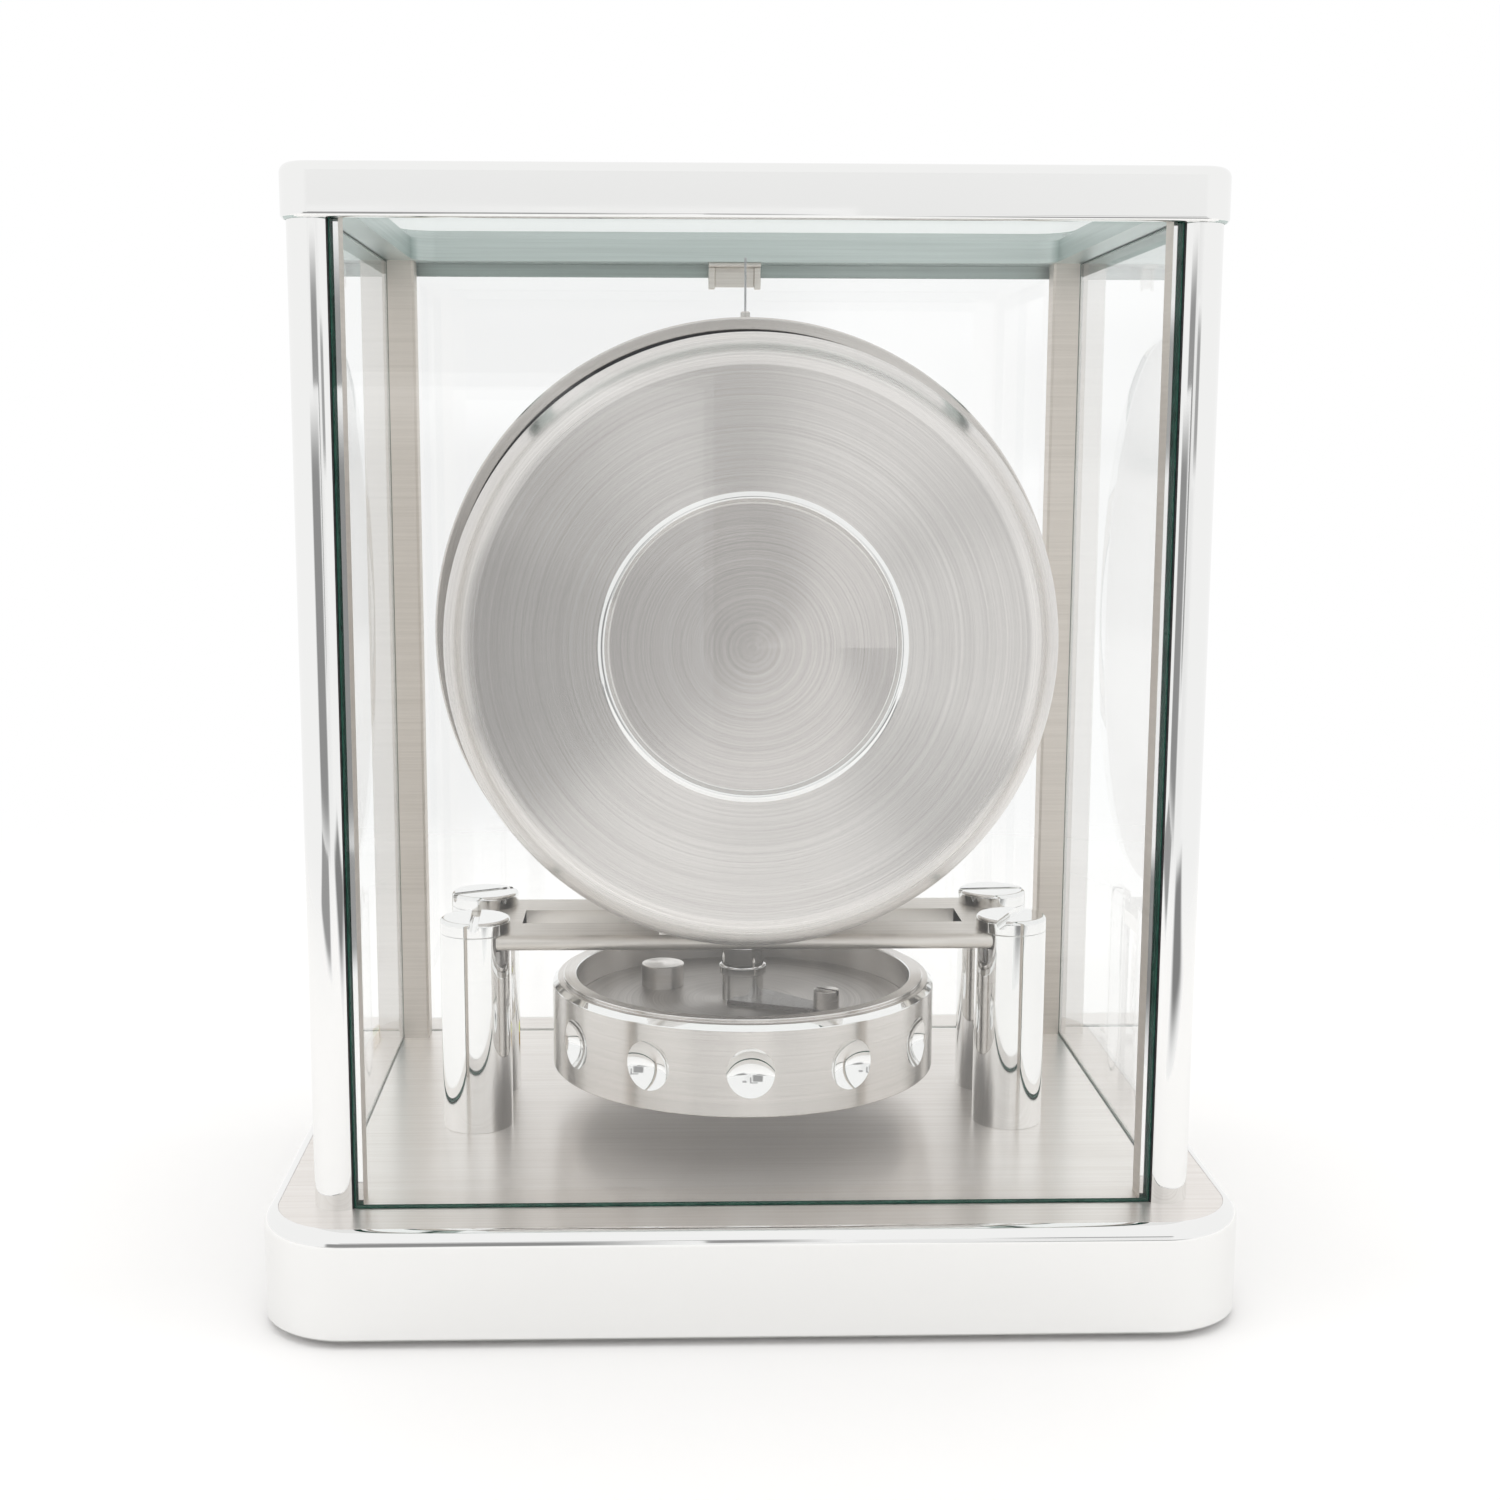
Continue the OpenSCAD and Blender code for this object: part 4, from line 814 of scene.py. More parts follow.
# Hand-silvered brass dial: a chalky white metal with a fine round grain
SILVERED_DIAL = LinedMetal("hand_silvered_brass", colour="EEEBE6", dark="E4E1DB", roughness=0.5, spread=0.35,
                           line_mm=0.35, run_mm=60.0)
# Tinted spirit in the level's vial: a clear yellow-green with a wet shine
TINTED_SPIRIT = GrainedSurface("tinted_spirit", colour="C8D84A", dark="B9CA3C", roughness=0.08, metallic=0.0,
                               grain_mm=3.0, depth_mm=0.01)
# Moulded rubber: matt black with a fine pebble
RUBBER = GrainedSurface("moulded_rubber", colour="2B2B2D", dark="1B1B1C", roughness=0.75, metallic=0.0,
                        grain_mm=0.8, depth_mm=0.05)

# What each piece or CAD node of a group is dressed in
Dressing = dict[str, Finish | tuple[Finish, ...]]


@dataclass
class SubAssembly(ABC):
    """A group of pieces that is built and then dressed."""

    pieces: dict[str, bpy.types.Object] = field(default_factory=dict, init=False)

    @abstractmethod
    def build(self) -> None:
        """Builds the meshes of the group."""

    @abstractmethod
    def dress(self) -> None:
        """Gives each piece and each CAD node of the group its finish."""

    def keep(self, mould: Mould, name: str, node: str, stands_for: bool = True,
             stretch: Stretch | None = None) -> None:
        """Casts a mould, with the arguments of Mould.cast, and keeps the piece under its name."""
        self.pieces[name] = mould.cast(name, node, stands_for, stretch)

    def paint(self, finishes: Dressing) -> None:
        """Gives pieces, or CAD nodes that are shown, their finishes.

        Args:
            finishes: One finish or several for each name.
        """
        for name, chosen in finishes.items():
            mesh = (self.pieces.get(name) or frame["nodes"][name]).data
            # A piece has no materials yet; to clear them would also lose which face has which finish
            if name not in self.pieces:
                mesh.materials.clear()
            for finish in chosen if isinstance(chosen, tuple) else (chosen,):
                mesh.materials.append(finish.material())


@dataclass
class Base(SubAssembly):
    """The plinth with its deck plate, cover, screws and feet."""

    corner: float = 19.0
    corner_steps: int = 24
    lower_edge: float = 0.6
    bevel_in: float = 3.0
    bevel_rise: float = 3.4
    bevel_steps: int = 12
    seam: float = 0.03
    wall: float = 6.0
    web: float = 4.0
    deck_edge: float = 0.06
    groove_gap: float = 0.1
    stud_r: float = 2.5
    stud_h: float = 2.7
    stud_head_r: float = 5.5
    stud_head_t: float = 1.2
    stud_root: float = 1.0
    foot_edges: tuple[float, float] = (0.5, 0.3)

    def build(self) -> None:
        """Builds the plinth, the deck and the rear foot."""
        self.build_plinth()
        self.build_deck()
        low, high = box_mm("rear_foot")
        axis = Vector(((low.x + high.x) / 2, (low.y + high.y) / 2, 0))
        foot = Mould().rod(high.x, 0, high.z, axis, edges=self.foot_edges, steps=64)
        self.keep(foot, "rear_button", "rear_foot")

    def build_plinth(self) -> None:
        """Builds the plinth as one skin from the web's underside round the bevel to the deck's seat."""
        low, high = box_mm("base_plinth")
        deck, _ = box_mm("deck_plate")

        def rim(inset: float, height: float) -> Rim:
            """Gives the plinth's outline at an inset and a height."""
            return Rim(high.x - inset, high.y - inset, self.corner - inset, height)

        side_top = high.z - self.bevel_rise
        bevel = [rim(self.bevel_in * inset, side_top + self.bevel_rise * rise)
                 for inset, rise in quarter_round(1.0, self.bevel_steps)]
        seat = self.bevel_in + self.seam
        plinth = Mould().stack([rim(self.wall, deck.z - self.web), rim(self.wall, low.z),
                                rim(self.lower_edge, low.z), rim(0, low.z + self.lower_edge), *bevel,
                                rim(seat, high.z), rim(seat, deck.z)], segments=self.corner_steps)
        self.keep(plinth, "plinth", "base_plinth")

    def build_deck(self) -> None:
        """Builds the deck plate with the front pane's groove and the lock's stud."""
        low, _ = box_mm("deck_plate")
        _, plinth = box_mm("base_plinth")
        pane_low, pane_high = box_mm("front_glass")
        lever_low, lever_high = box_mm("lock_lever")
        inset = self.bevel_in + 2 * self.seam
        top = plinth.z
        deck = Mould().stack([Rim(plinth.x - inset - d, plinth.y - inset - d, self.corner - inset - d, z)
                              for d, z in ((0, low.z), (0, top - self.deck_edge), (self.deck_edge, top))],
                             segments=self.corner_steps)
        reach = pane_high.x + 3 * self.groove_gap
        deck.carve(Mould().rod((pane_high.y - pane_low.y) / 2 + self.groove_gap, -reach, reach,
                               Vector((0, (pane_low.y + pane_high.y) / 2, top)), Axis.ACROSS, steps=32))
        cap = self.stud_h + self.stud_head_t
        stud = Mould().turn([Corner(0, -self.stud_root), Corner(self.stud_r, -self.stud_root),
                             Corner(self.stud_r, self.stud_h), Corner(self.stud_head_r, self.stud_h, 0.2),
                             Corner(self.stud_head_r, cap, 0.4), Corner(0, cap)],
                            Vector((lever_low.x + self.stud_r * 2, (lever_low.y + lever_high.y) / 2, top)),
                            steps=48, segments=4)
        self.keep(deck.join(stud).lay_flat(Axis.BACK), "deck", "deck_plate")

    def dress(self) -> None:
        """Gives the plinth a polish, the deck its brushing and the rest plain finishes."""
        self.paint({"plinth": POLISHED_NICKEL, "deck": BRUSHED_NICKEL, "rear_button": RUBBER,
                    "bottom_cover": BLACKED_STEEL, "base_screws": GROUND_STEEL,
                    "levelling_foot_left": NICKEL_SILVER, "levelling_foot_right": NICKEL_SILVER})


@dataclass
class Case(SubAssembly):
    """The four columns, the top frame, the five panes, their seals and the glass catch."""

    column_r: float = 5.4
    rebate_gap: float = 0.05
    rebate_gap_front: float = 0.3
    arc_steps: int = 56
    arris: float = 0.35
    seal: float = 0.3
    seal_gap: float = 0.03
    seal_edge: float = 0.05
    inner_corner: float = 0.6
    frame_corner: float = 6.55
    frame_bar: float = 11.6
    frame_over: float = 1.1
    frame_round: float = 2.0
    frame_under: float = 1.0
    hollow_gap: float = 0.05
    open_corner: float = 6.0
    ledge: float = 4.0
    top_gap: float = 0.05
    catch_cheek: float = 1.7
    catch_lip: float = 0.6
    catch_t: float = 1.0
    catch_depth: float = 2.2
    catch_edge: float = 0.2
    cheek_edge: float = 0.3
    # Least share of a pane's own direction in the normal of its wide faces
    wide_face: float = 0.95
    # Most that a column's face may look outwards and still have the inner finish
    inner_face: float = -0.3

    def build(self) -> None:
        """Builds columns, frame, panes, seals and catch."""
        for side_x, word_x in ((-1, "left"), (1, "right")):
            for side_y, word_y in ((-1, "front"), (1, "rear")):
                self.build_column(side_x, side_y, f"column_{word_y}_{word_x}")
        self.build_frame()
        self.build_panes()
        self.build_seals()
        self.build_catch()

    def build_column(self, side_x: int, side_y: int, node: str) -> None:
        """Builds one column: a bar, round outside and square inside, with a rebate for each of its two panes.

        Args:
            side_x: -1 for the left columns, 1 for the right ones.
            side_y: -1 for the front columns, 1 for the rear ones.
            node: The CAD node that it stands for.
        """
        low, high = box_mm(node)
        # The box is short where the rebates are cut, so the axis is taken from the uncut outer sides
        axis = Vector(((high if side_x > 0 else low).x - side_x * self.column_r,
                       (high if side_y > 0 else low).y - side_y * self.column_r))
        rear, _ = box_mm("rear_glass")
        side_low, side_high = box_mm("right_glass")
        gap = self.rebate_gap if side_y > 0 else self.rebate_gap_front
        # Rebate corners from the axis, for a right rear column
        rear_x = -rear.x + self.rebate_gap + (self.seal if side_y > 0 else 0) - abs(axis.x)
        rear_y = rear.y - gap - abs(axis.y)
        flank_x = side_low.x - self.rebate_gap - abs(axis.x)
        flank_y = side_high.y + self.rebate_gap + self.seal - abs(axis.y)

        def on_circle(known: float) -> float:
            """Gives how far the bar's circle lies from the axis at a known x or y."""
            return math.sqrt(self.column_r ** 2 - known ** 2)

        outer = Vector((rear_x, on_circle(rear_x), low.z)), Vector((on_circle(flank_y), flank_y, low.z))
        inner = Vector((flank_x, -on_circle(flank_x), low.z)), Vector((-on_circle(rear_y), rear_y, low.z))
        start, end = (math.atan2(place.y, place.x) for place in outer)
        bar = Mould()
        sweep = -((start - end) % FULL_TURN)
        outer_first, outer_last = bar.arc(outer[0], Vector((0, 0, low.z)), sweep, self.arc_steps)
        # The inner side is a square corner, eased by a small flat
        flat_y, flat_x = inner[0].y, inner[1].x
        bends = bar.wire([inner[0], Vector((flat_x + self.inner_corner, flat_y, low.z)),
                          Vector((flat_x, flat_y + self.inner_corner, low.z)), inner[1]], [0.0] * 4, False)
        for first, x, y, second in ((outer_last, flank_x, flank_y, bends[0]),
                                    (bends[-1], rear_x, rear_y, outer_first)):
            notch = bar.mesh.verts.new((x, y, low.z))
            bar.mesh.edges.new((first, notch))
            bar.mesh.edges.new((notch, second))
        bar.raise_face(bar.mesh.edges[:], Vector((0, 0, high.z - low.z)))
        bar.mesh.normal_update()
        # The inward faces get the second finish, whose darker warm grey is painted shade
        bar.finish_where(1, lambda face: face.normal.x + face.normal.y < self.inner_face)
        bar.move(Matrix.Translation((axis.x, axis.y, 0)) @ Matrix.Diagonal((side_x, side_y, 1, 1)))
        bar.lay_flat(Axis.UP)
        bmesh.ops.recalc_face_normals(bar.mesh, faces=bar.mesh.faces[:])
        self.keep(bar, f"{node}_bar", node)

    def build_frame(self) -> None:
        """Builds the top frame as a ring of outlines, from its lower lip over the top to its ledge."""
        low, high = box_mm("top_frame")
        glass, _ = box_mm("top_glass")
        _, column = box_mm("column_rear_right")
        opening = Rim(high.x - self.frame_bar, high.y - self.frame_bar, self.open_corner, glass.z)
        seat = Rim(opening.half_x + self.ledge, opening.half_y + self.ledge, opening.corner + self.ledge,
                   high.z)
        hollow = self.frame_over - self.hollow_gap

        def outer(inset: float, height: float) -> Rim:
            """Gives the frame's outer outline at an inset and a height."""
            return Rim(high.x - inset, high.y - inset, self.frame_corner - inset, height)

        under = [outer(inset, low.z + self.frame_under - rise)
                 for inset, rise in reversed(quarter_round(self.frame_under, 5))]
        over = [outer(inset, high.z - self.frame_round + rise)
                for inset, rise in quarter_round(self.frame_round, 10)]
        roof = Mould().stack([*under, *over, seat, seat._replace(height=glass.z), opening,
                              opening._replace(height=column.z), outer(hollow, column.z),
                              outer(hollow, low.z)], ring=True)
        roof.mesh.normal_update()
        # The downward and inward faces get the second finish, whose darker grey is painted shade
        roof.finish_where(1, lambda face: self.inside_frame(face, high))
        self.keep(roof.lay_flat(Axis.UP), "roof_frame", "top_frame")

    def inside_frame(self, face: BMFace, high: Vector) -> bool:
        """Tells whether a face of the frame looks inwards, or down inside its lip.

        Args:
            face: The face.
            high: The frame's highest corner.

        Returns:
            Whether it does.
        """
        middle = face.calc_center_median()
        if abs(middle.x) > high.x - self.frame_under or abs(middle.y) > high.y - self.frame_under:
            return False
        return face.normal.z < -0.5 or face.normal.x * middle.x + face.normal.y * middle.y < -1.0

    def build_panes(self) -> None:
        """Builds the panes with arrised edges. The front one has a round lower edge to tip on."""
        for node, through in (("rear_glass", 1), ("left_glass", 0), ("right_glass", 0)):
            pane = Mould()
            pane.block(*box_mm(node), bevel=self.arris, segments=2)
            self.keep(self.mark_edges(pane, through), f"{node}_pane", node)
        low, high = box_mm("front_glass")
        pane = Mould()
        lower = [edge for edge in pane.block(low, high)
                 if runs_across(edge) and all(abs(vert.co.z - low.z) < MM for vert in edge.verts)]
        pane.round_edges(lower, (high.y - low.y) / 2 - MM, 10)
        self.keep(self.mark_edges(pane, 1), "front_glass_pane", "front_glass")
        low, high = box_mm("top_glass")
        corner = self.open_corner + self.ledge - self.top_gap
        pane = Mould().stack([Rim(high.x - d, high.y - d, corner - d, z)
                              for d, z in ((self.arris, low.z), (0, low.z + self.arris),
                                           (0, high.z - self.arris), (self.arris, high.z))])
        self.keep(pane, "top_glass_pane", "top_glass")

    def mark_edges(self, pane: Mould, through: int) -> Mould:
        """Gives the second finish to a pane's narrow faces.

        Args:
            pane: The pane.
            through: Number of the direction that the pane is looked through along.

        Returns:
            The pane.
        """
        pane.mesh.normal_update()
        pane.finish_where(1, lambda face: abs(face.normal[through]) < self.wide_face)
        return pane

    def build_seals(self) -> None:
        """Builds the dark strips that hold the three fixed panes in the columns' rebates."""
        seals = Mould()
        for node, edge in (("rear_glass", 0), ("left_glass", 1), ("right_glass", 1)):
            low, high = box_mm(node)
            for near, far in ((low[edge] - self.seal, low[edge] - self.seal_gap),
                              (high[edge] + self.seal_gap, high[edge] + self.seal)):
                strip_low, strip_high = low.copy(), high.copy()
                strip_low[edge], strip_high[edge] = near, far
                seals.block(strip_low, strip_high, self.seal_edge)
        self.keep(seals, "glazing_seals", "rear_foot", stands_for=False)

    def build_catch(self) -> None:
        """Builds the catch: a bent plate between two cheeks."""
        low, high = box_mm("glass_catch")
        under = high.z - self.catch_t
        catch = Mould()
        catch.block(Vector((low.x, low.y, under)), high, self.catch_edge)
        catch.block(Vector((low.x + self.catch_cheek, low.y, low.z + self.catch_lip)),
                    Vector((high.x - self.catch_cheek, low.y + self.catch_t, under)), self.catch_edge)
        for x in (low.x, high.x - self.catch_cheek):
            catch.block(Vector((x, low.y, low.z)),
                        Vector((x + self.catch_cheek, low.y + self.catch_depth, under)),
                        self.cheek_edge)
        self.keep(catch.lay_flat(Axis.UP), "catch", "glass_catch")

    def dress(self) -> None:
        """Polishes the metal, with painted shade on the columns' and the frame's inner faces, and gives the
        panes their glass.
        """
        finishes: Dressing = {"roof_frame": (POLISHED_NICKEL, SHADED_UNDER_NICKEL), "catch": BRUSHED_PLATE,
                              "glazing_seals": RUBBER}
        finishes |= {name: (POLISHED_NICKEL, SHADED_INNER_NICKEL)
                     for name in self.pieces if name.startswith("column")}
        finishes |= {name: (FLOAT_GLASS, GLASS_EDGE) for name in self.pieces if name.endswith("pane")}
        self.paint(finishes | {"top_glass_pane": COATED_GLASS})


@dataclass
class Stand(SubAssembly):
    """The four posts with their slotted caps and the bridge plate."""

    post_edges: tuple[float, float] = (0.15, 0.2)
    cap_seam: float = 0.02
    cap_edges: tuple[float, float] = (0.15, 0.9)
    cap_slot: float = 2.2
    slot_share: float = 0.6
    slot_angles: tuple[float, ...] = (5.0, 64.0, 28.0, 92.0)
    bridge_bar: float = 13.5
    window_end: float = 10.5
    edge_flat: float = 0.01
    stem_hole_r: float = 3.5
    seam: float = 0.05

    def build(self) -> None:
        """Builds posts, caps and bridge."""
        self.build_posts()
        self.build_caps()
        self.build_bridge()

    def post_boxes(self) -> list[tuple[str, Vector, Vector]]:
        """Gives the posts' nodes with their lowest and highest corners, left to right, front to rear."""
        nodes = [f"post_{word_y}_{word_x}" for word_x in ("left", "right") for word_y in ("front", "rear")]
        return [(node, *box_mm(node)) for node in nodes]

    def build_posts(self) -> None:
        """Builds the posts: round bars, cut out at the top for the bridge."""
        bridge_low, bridge_high = box_mm("bridge_plate")
        slack = Vector((self.seam, self.seam, 0))
        for node, low, high in self.post_boxes():
            axis = Vector(((low.x + high.x) / 2, (low.y + high.y) / 2, 0))
            seat = Mould()
            seat.block(bridge_low - slack, bridge_high + slack + Vector((0, 0, 1)))
            post = Mould().rod((high.x - low.x) / 2, low.z, high.z, axis, edges=self.post_edges)
            self.keep(post.carve(seat), f"{node}_bar", node)

    def build_caps(self) -> None:
        """Builds the four caps, each with a round-bottomed slot in its own direction."""
        _, caps_high = box_mm("post_caps")
        half = self.cap_slot / 2
        caps = Mould()
        for (_, low, high), angle in zip(self.post_boxes(), self.slot_angles):
            radius = (high.x - low.x) / 2
            thick = caps_high.z - high.z
            place = Vector(((low.x + high.x) / 2, (low.y + high.y) / 2, high.z))
            slot = Mould()
            edges = slot.block(Vector((-2 * radius, -half, thick * (1 - self.slot_share))),
                               Vector((2 * radius, half, 2 * thick)))
            floor = [e for e in edges if runs_across(e) and all(v.co.z < thick for v in e.verts)]
            slot.round_edges(floor, half - MM, 8)
            slot.move(Matrix.Translation(place) @ Matrix.Rotation(math.radians(angle), 4, "Z"))
            caps.join(Mould().rod(radius, self.cap_seam, thick, place, edges=self.cap_edges).carve(slot))
        self.keep(caps, "slotted_caps", "post_caps")

    def build_bridge(self) -> None:
        """Builds the bridge plate with round long edges, its window and the stem's hole."""
        low, high = box_mm("bridge_plate")
        (_, post_low, post_high), *_ = self.post_boxes()
        window_x = -(post_low.x + post_high.x) / 2 - self.window_end
        bridge = Mould()
        long_edges = [edge for edge in bridge.block(low, high) if runs_across(edge)]
        bridge.round_edges(long_edges, (high.z - low.z) / 2 - self.edge_flat, 10)
        window = Mould()
        window.block(Vector((-window_x, low.y + self.bridge_bar, low.z - 1)),
                     Vector((window_x, high.y - self.bridge_bar, high.z + 1)))
        bridge.carve(window)
        bridge.carve(Mould().rod(self.stem_hole_r, low.z - 1, high.z + 1, balance_axis(), steps=64))
        self.keep(bridge.lay_flat(Axis.BACK), "bridge", "bridge_plate")

    def dress(self) -> None:
        """Polishes the posts and caps and brushes the bridge."""
        finishes: Dressing = {name: POLISHED_NICKEL for name in self.pieces if name.startswith("post")}
        self.paint(finishes | {"slotted_caps": POLISHED_NICKEL, "bridge": BRUSHED_PLATE,
                               "movement_saddles": NICKEL_SILVER})


@dataclass
class Movement(SubAssembly):
    """The movement ring with its train, chuck and suspension wire."""

    ring_wall: float = 2.8
    ring_edge: float = 0.6
    chuck_r: float = 3.0
    fit: float = 0.05
    stem_hole_r: float = 3.5
    ferrule_r: float = 1.1
    crown: float = 0.3
    brass: tuple[str, ...] = ("front_plate", "back_plate", "plate_pillars", "barrel", "centre_wheel",
                              "escape_wheel", "minute_wheel", "hour_wheel")
    steel: tuple[str, ...] = ("barrel_arbor", "mainspring", "centre_arbor", "pallet_lever", "cannon_pinion")

    def build(self) -> None:
        """Builds the ring, the chuck and the wire."""
        low, high = box_mm("movement_ring")
        axis = Vector((0, 0, (low.z + high.z) / 2))
        inner = high.x - self.ring_wall
        ring = Mould().turn([Corner(inner, low.y), Corner(high.x, low.y, self.ring_edge),
                             Corner(high.x, high.y, self.ring_edge),
                             Corner(inner, high.y, self.ring_edge / 2)], axis, Axis.BACK, steps=256)
        holes = Mould().rod(self.chuck_r, axis.z, high.z + 1, balance_axis(), steps=48)
        holes.rod(self.stem_hole_r, low.z - 1, axis.z - 1, balance_axis(), steps=48)
        self.keep(ring.carve(holes), "ring_band", "movement_ring")
        self.build_chuck(high.z)

    def build_chuck(self, ring_top: float) -> None:
        """Builds the chuck with its ferrule, and the wire with a nipped end.

        Args:
            ring_top: Height of the ring's highest line.
        """
        low, high = box_mm("top_chuck")
        wire_low, wire_high = box_mm("suspension_wire")
        wire_r = (wire_high.x - wire_low.x) / 2
        bore = wire_r + self.fit
        outer = self.chuck_r - self.fit
        top = min(ring_top + self.crown, high.z - 1)
        chuck = Mould().turn([Corner(bore, low.z), Corner(outer, low.z, 0.3), Corner(outer, top, 0.35),
                              Corner(self.ferrule_r, top, 0.3), Corner(self.ferrule_r, high.z, 0.5),
                              Corner(bore, high.z)], balance_axis(), steps=48, segments=5)
        self.keep(chuck, "chuck", "top_chuck")
        wire = Mould().rod(wire_r, wire_low.z, wire_high.z, balance_axis(), edges=(wire_r / 2, wire_r / 2),
                           steps=16, segments=3)
        self.keep(wire, "wire", "suspension_wire")

    def dress(self) -> None:
        """Gives the ring a turned finish and the train brass and steel."""
        finishes: Dressing = {node: GILT_BRASS for node in self.brass}
        finishes |= {node: GROUND_STEEL for node in self.steel}
        self.paint(finishes | {"ring_band": TURNED_NICKEL, "chuck": TURNED_NICKEL, "wire": GROUND_STEEL,
                               "drum_carrier": BLACKED_STEEL})


class Hand(NamedTuple):
    """Sizes of a hand in millimetres, and its turn at rest in degrees per minute after twelve."""

    node: str
    length: float
    width: float
    tail: float
    bore: float
    pace: float


@dataclass
class Dial(SubAssembly):
    """The dial with its bezel, markers, minute track, hands and nut."""

    plate_bore: float = 4.4
    plate_t: float = 1.5
    bezel_lap: float = 1.6
    bezel_wall: float = 3.85
    bezel_slope: float = 1.2
    bezel_seam: float = 0.02
    marker_in: float = 6.4
    marker_l: float = 11.0
    marker_wide: float = 3.4
    marker_narrow: float = 2.0
    marker_edge: float = 0.45
    track_r: float = 62.6
    tick_l: float = 1.5
    tick_w: float = 0.35
    tick_t: float = 0.06
    tick_sunk: float = 0.02
    tick_edge: float = 0.02
    centre_r: float = 42.0
    centre_drop: float = 0.35
    centre_slope: float = 0.5
    hands: tuple[Hand, ...] = (Hand("hour_hand", 38.0, 6.0, 9.0, 3.92, 0.5),
                               Hand("minute_hand", 56.0, 5.0, 12.0, 2.82, 6.0))
    hand_wall: float = 1.98
    hand_tip: float = 0.5
    # Where a hand is widest, as a share of its length
    hand_shoulder: float = 0.3
    # Its widths at the axis and the tail, as shares of the widest
    hand_waist: float = 0.28
    hand_foot: float = 0.22
    # Width of the eased edge, as a share of the tip
    hand_ease: float = 0.6
    boss_drop: float = 0.05
    rest_minutes: float = 608.0
    nut_bore: float = 1.52
    axis: Vector = field(init=False)

    def build(self) -> None:
        """Builds the dial's pieces from the back to the front."""
        low, high = box_mm("dial_bezel")
        self.axis = Vector((0, 0, (low.z + high.z) / 2))
        self.build_plate()
        self.build_bezel()
        self.build_markers()
        for hand in self.hands:
            self.build_hand(hand)
        low, high = box_mm("hand_nut")
        nut = Mould().turn([Corner(self.nut_bore, high.y), Corner(high.x, high.y, 0.2),
                            Corner(high.x, low.y, 0.7), Corner(self.nut_bore, low.y)],
                           self.axis, Axis.BACK, steps=48)
        self.keep(nut, "nut", "hand_nut")

    def build_plate(self) -> None:
        """Builds the silvered plate with a sunk middle."""
        _, plate = box_mm("dial")
        _, marker = box_mm("hour_markers")
        front = marker.y
        back = front + self.plate_t
        sunk = front + self.centre_drop
        dial = Mould().turn([Corner(self.plate_bore, back), Corner(self.plate_bore, sunk, 0.2),
                             Corner(self.centre_r, sunk, 0.2),
                             Corner(self.centre_r + self.centre_slope, front, 0.2),
                             Corner(plate.x, front, 0.2), Corner(plate.x, back)],
                            self.axis, Axis.BACK, steps=192)
        self.keep(dial, "dial_plate", "dial")

    def build_bezel(self) -> None:
        """Builds the bezel: a polished ring with a sloping lip over the dial's edge."""
        low, high = box_mm("dial_bezel")
        _, dial = box_mm("dial")
        _, marker = box_mm("hour_markers")
        lip = dial.x - self.bezel_lap
        inner = high.x - self.bezel_wall
        seat = marker.y - self.bezel_seam
        bezel = Mould().turn([Corner(inner, high.y), Corner(high.x, high.y, 0.4), Corner(high.x, low.y, 1.4),
                              Corner(lip + self.bezel_slope, low.y, 0.6), Corner(lip, seat, 0.3),
                              Corner(inner, seat)], self.axis, Axis.BACK, steps=256)
        self.keep(bezel, "bezel_ring", "dial_bezel")

    def build_markers(self) -> None:
        """Builds twelve bevelled markers, and a track of fine ticks for the minutes between them."""
        low, high = box_mm("hour_markers")
        _, dial = box_mm("dial")
        outer = dial.x - self.marker_in
        markers = Mould()
        for hour in range(12):
            half = (self.marker_narrow if hour % 3 else self.marker_wide) / 2
            bar = Mould()
            edges = bar.block(Vector((-half, low.y, outer - self.marker_l)), Vector((half, high.y, outer)))
            bar.round_edges(front_edges(edges, low, high), self.marker_edge, 2)
            markers.join(bar.move(self.turned(hour * 30.0)))
        self.keep(markers, "markers", "hour_markers")
        track = Mould()
        for minute in range(60):
            if minute % 5:
                tick = Mould()
                tick.block(Vector((-self.tick_w / 2, high.y - self.tick_t, self.track_r - self.tick_l)),
                           Vector((self.tick_w / 2, high.y + self.tick_sunk, self.track_r)),
                           self.tick_edge, 1)
                track.join(tick.move(self.turned(minute * 6.0)))
        self.keep(track, "minute_track", "hour_markers", stands_for=False)

    def turned(self, degrees: float) -> Matrix:
        """Gives the turn that brings an upright mark to an angle clockwise from twelve."""
        return Matrix.Translation(self.axis) @ Matrix.Rotation(math.radians(degrees), 4, "Y")

    def build_hand(self, hand: Hand) -> None:
        """Builds a lance-shaped hand with an eased front edge.

        Args:
            hand: Its sizes and its turn.
        """
        low, high = box_mm(hand.node)
        right = [(self.hand_tip, hand.length), (hand.width / 2, self.hand_shoulder * hand.length),
                 (self.hand_waist * hand.width, 0), (self.hand_foot * hand.width, -hand.tail)]
        outline = right + [(-x, z) for x, z in reversed(right)]
        lance = Mould()
        verts = lance.wire([Vector((x, high.y, z)) for x, z in outline], [0.0] * len(outline), True)
        lance.raise_face(edges_of(verts), Vector((0, low.y - high.y, 0)))
        lance.round_edges(front_edges(lance.mesh.edges, low, high), self.hand_ease * self.hand_tip, 2)
        boss = Mould().rod(hand.bore + self.hand_wall, low.y + self.boss_drop, high.y, Vector(), Axis.BACK,
                           (0.3, 0.1), steps=64, segments=4)
        # Each form is bored before the two are joined, since a cut needs forms that don't cross
        for form in (lance, boss):
            form.carve(Mould().rod(hand.bore, low.y - 1, high.y + 1, Vector(), Axis.BACK, steps=64))
        lance.join(boss).move(self.turned(hand.pace * self.rest_minutes))
        self.keep(lance, f"{hand.node}_lance", hand.node)

    def dress(self) -> None:
        """Silvers the dial, polishes the bezel and blackens markers and hands."""
        finishes: Dressing = {name: BLACKED_STEEL for name in self.pieces}
        self.paint(finishes | {"dial_plate": SILVERED_DIAL, "bezel_ring": POLISHED_NICKEL,
                               "nut": POLISHED_NICKEL})


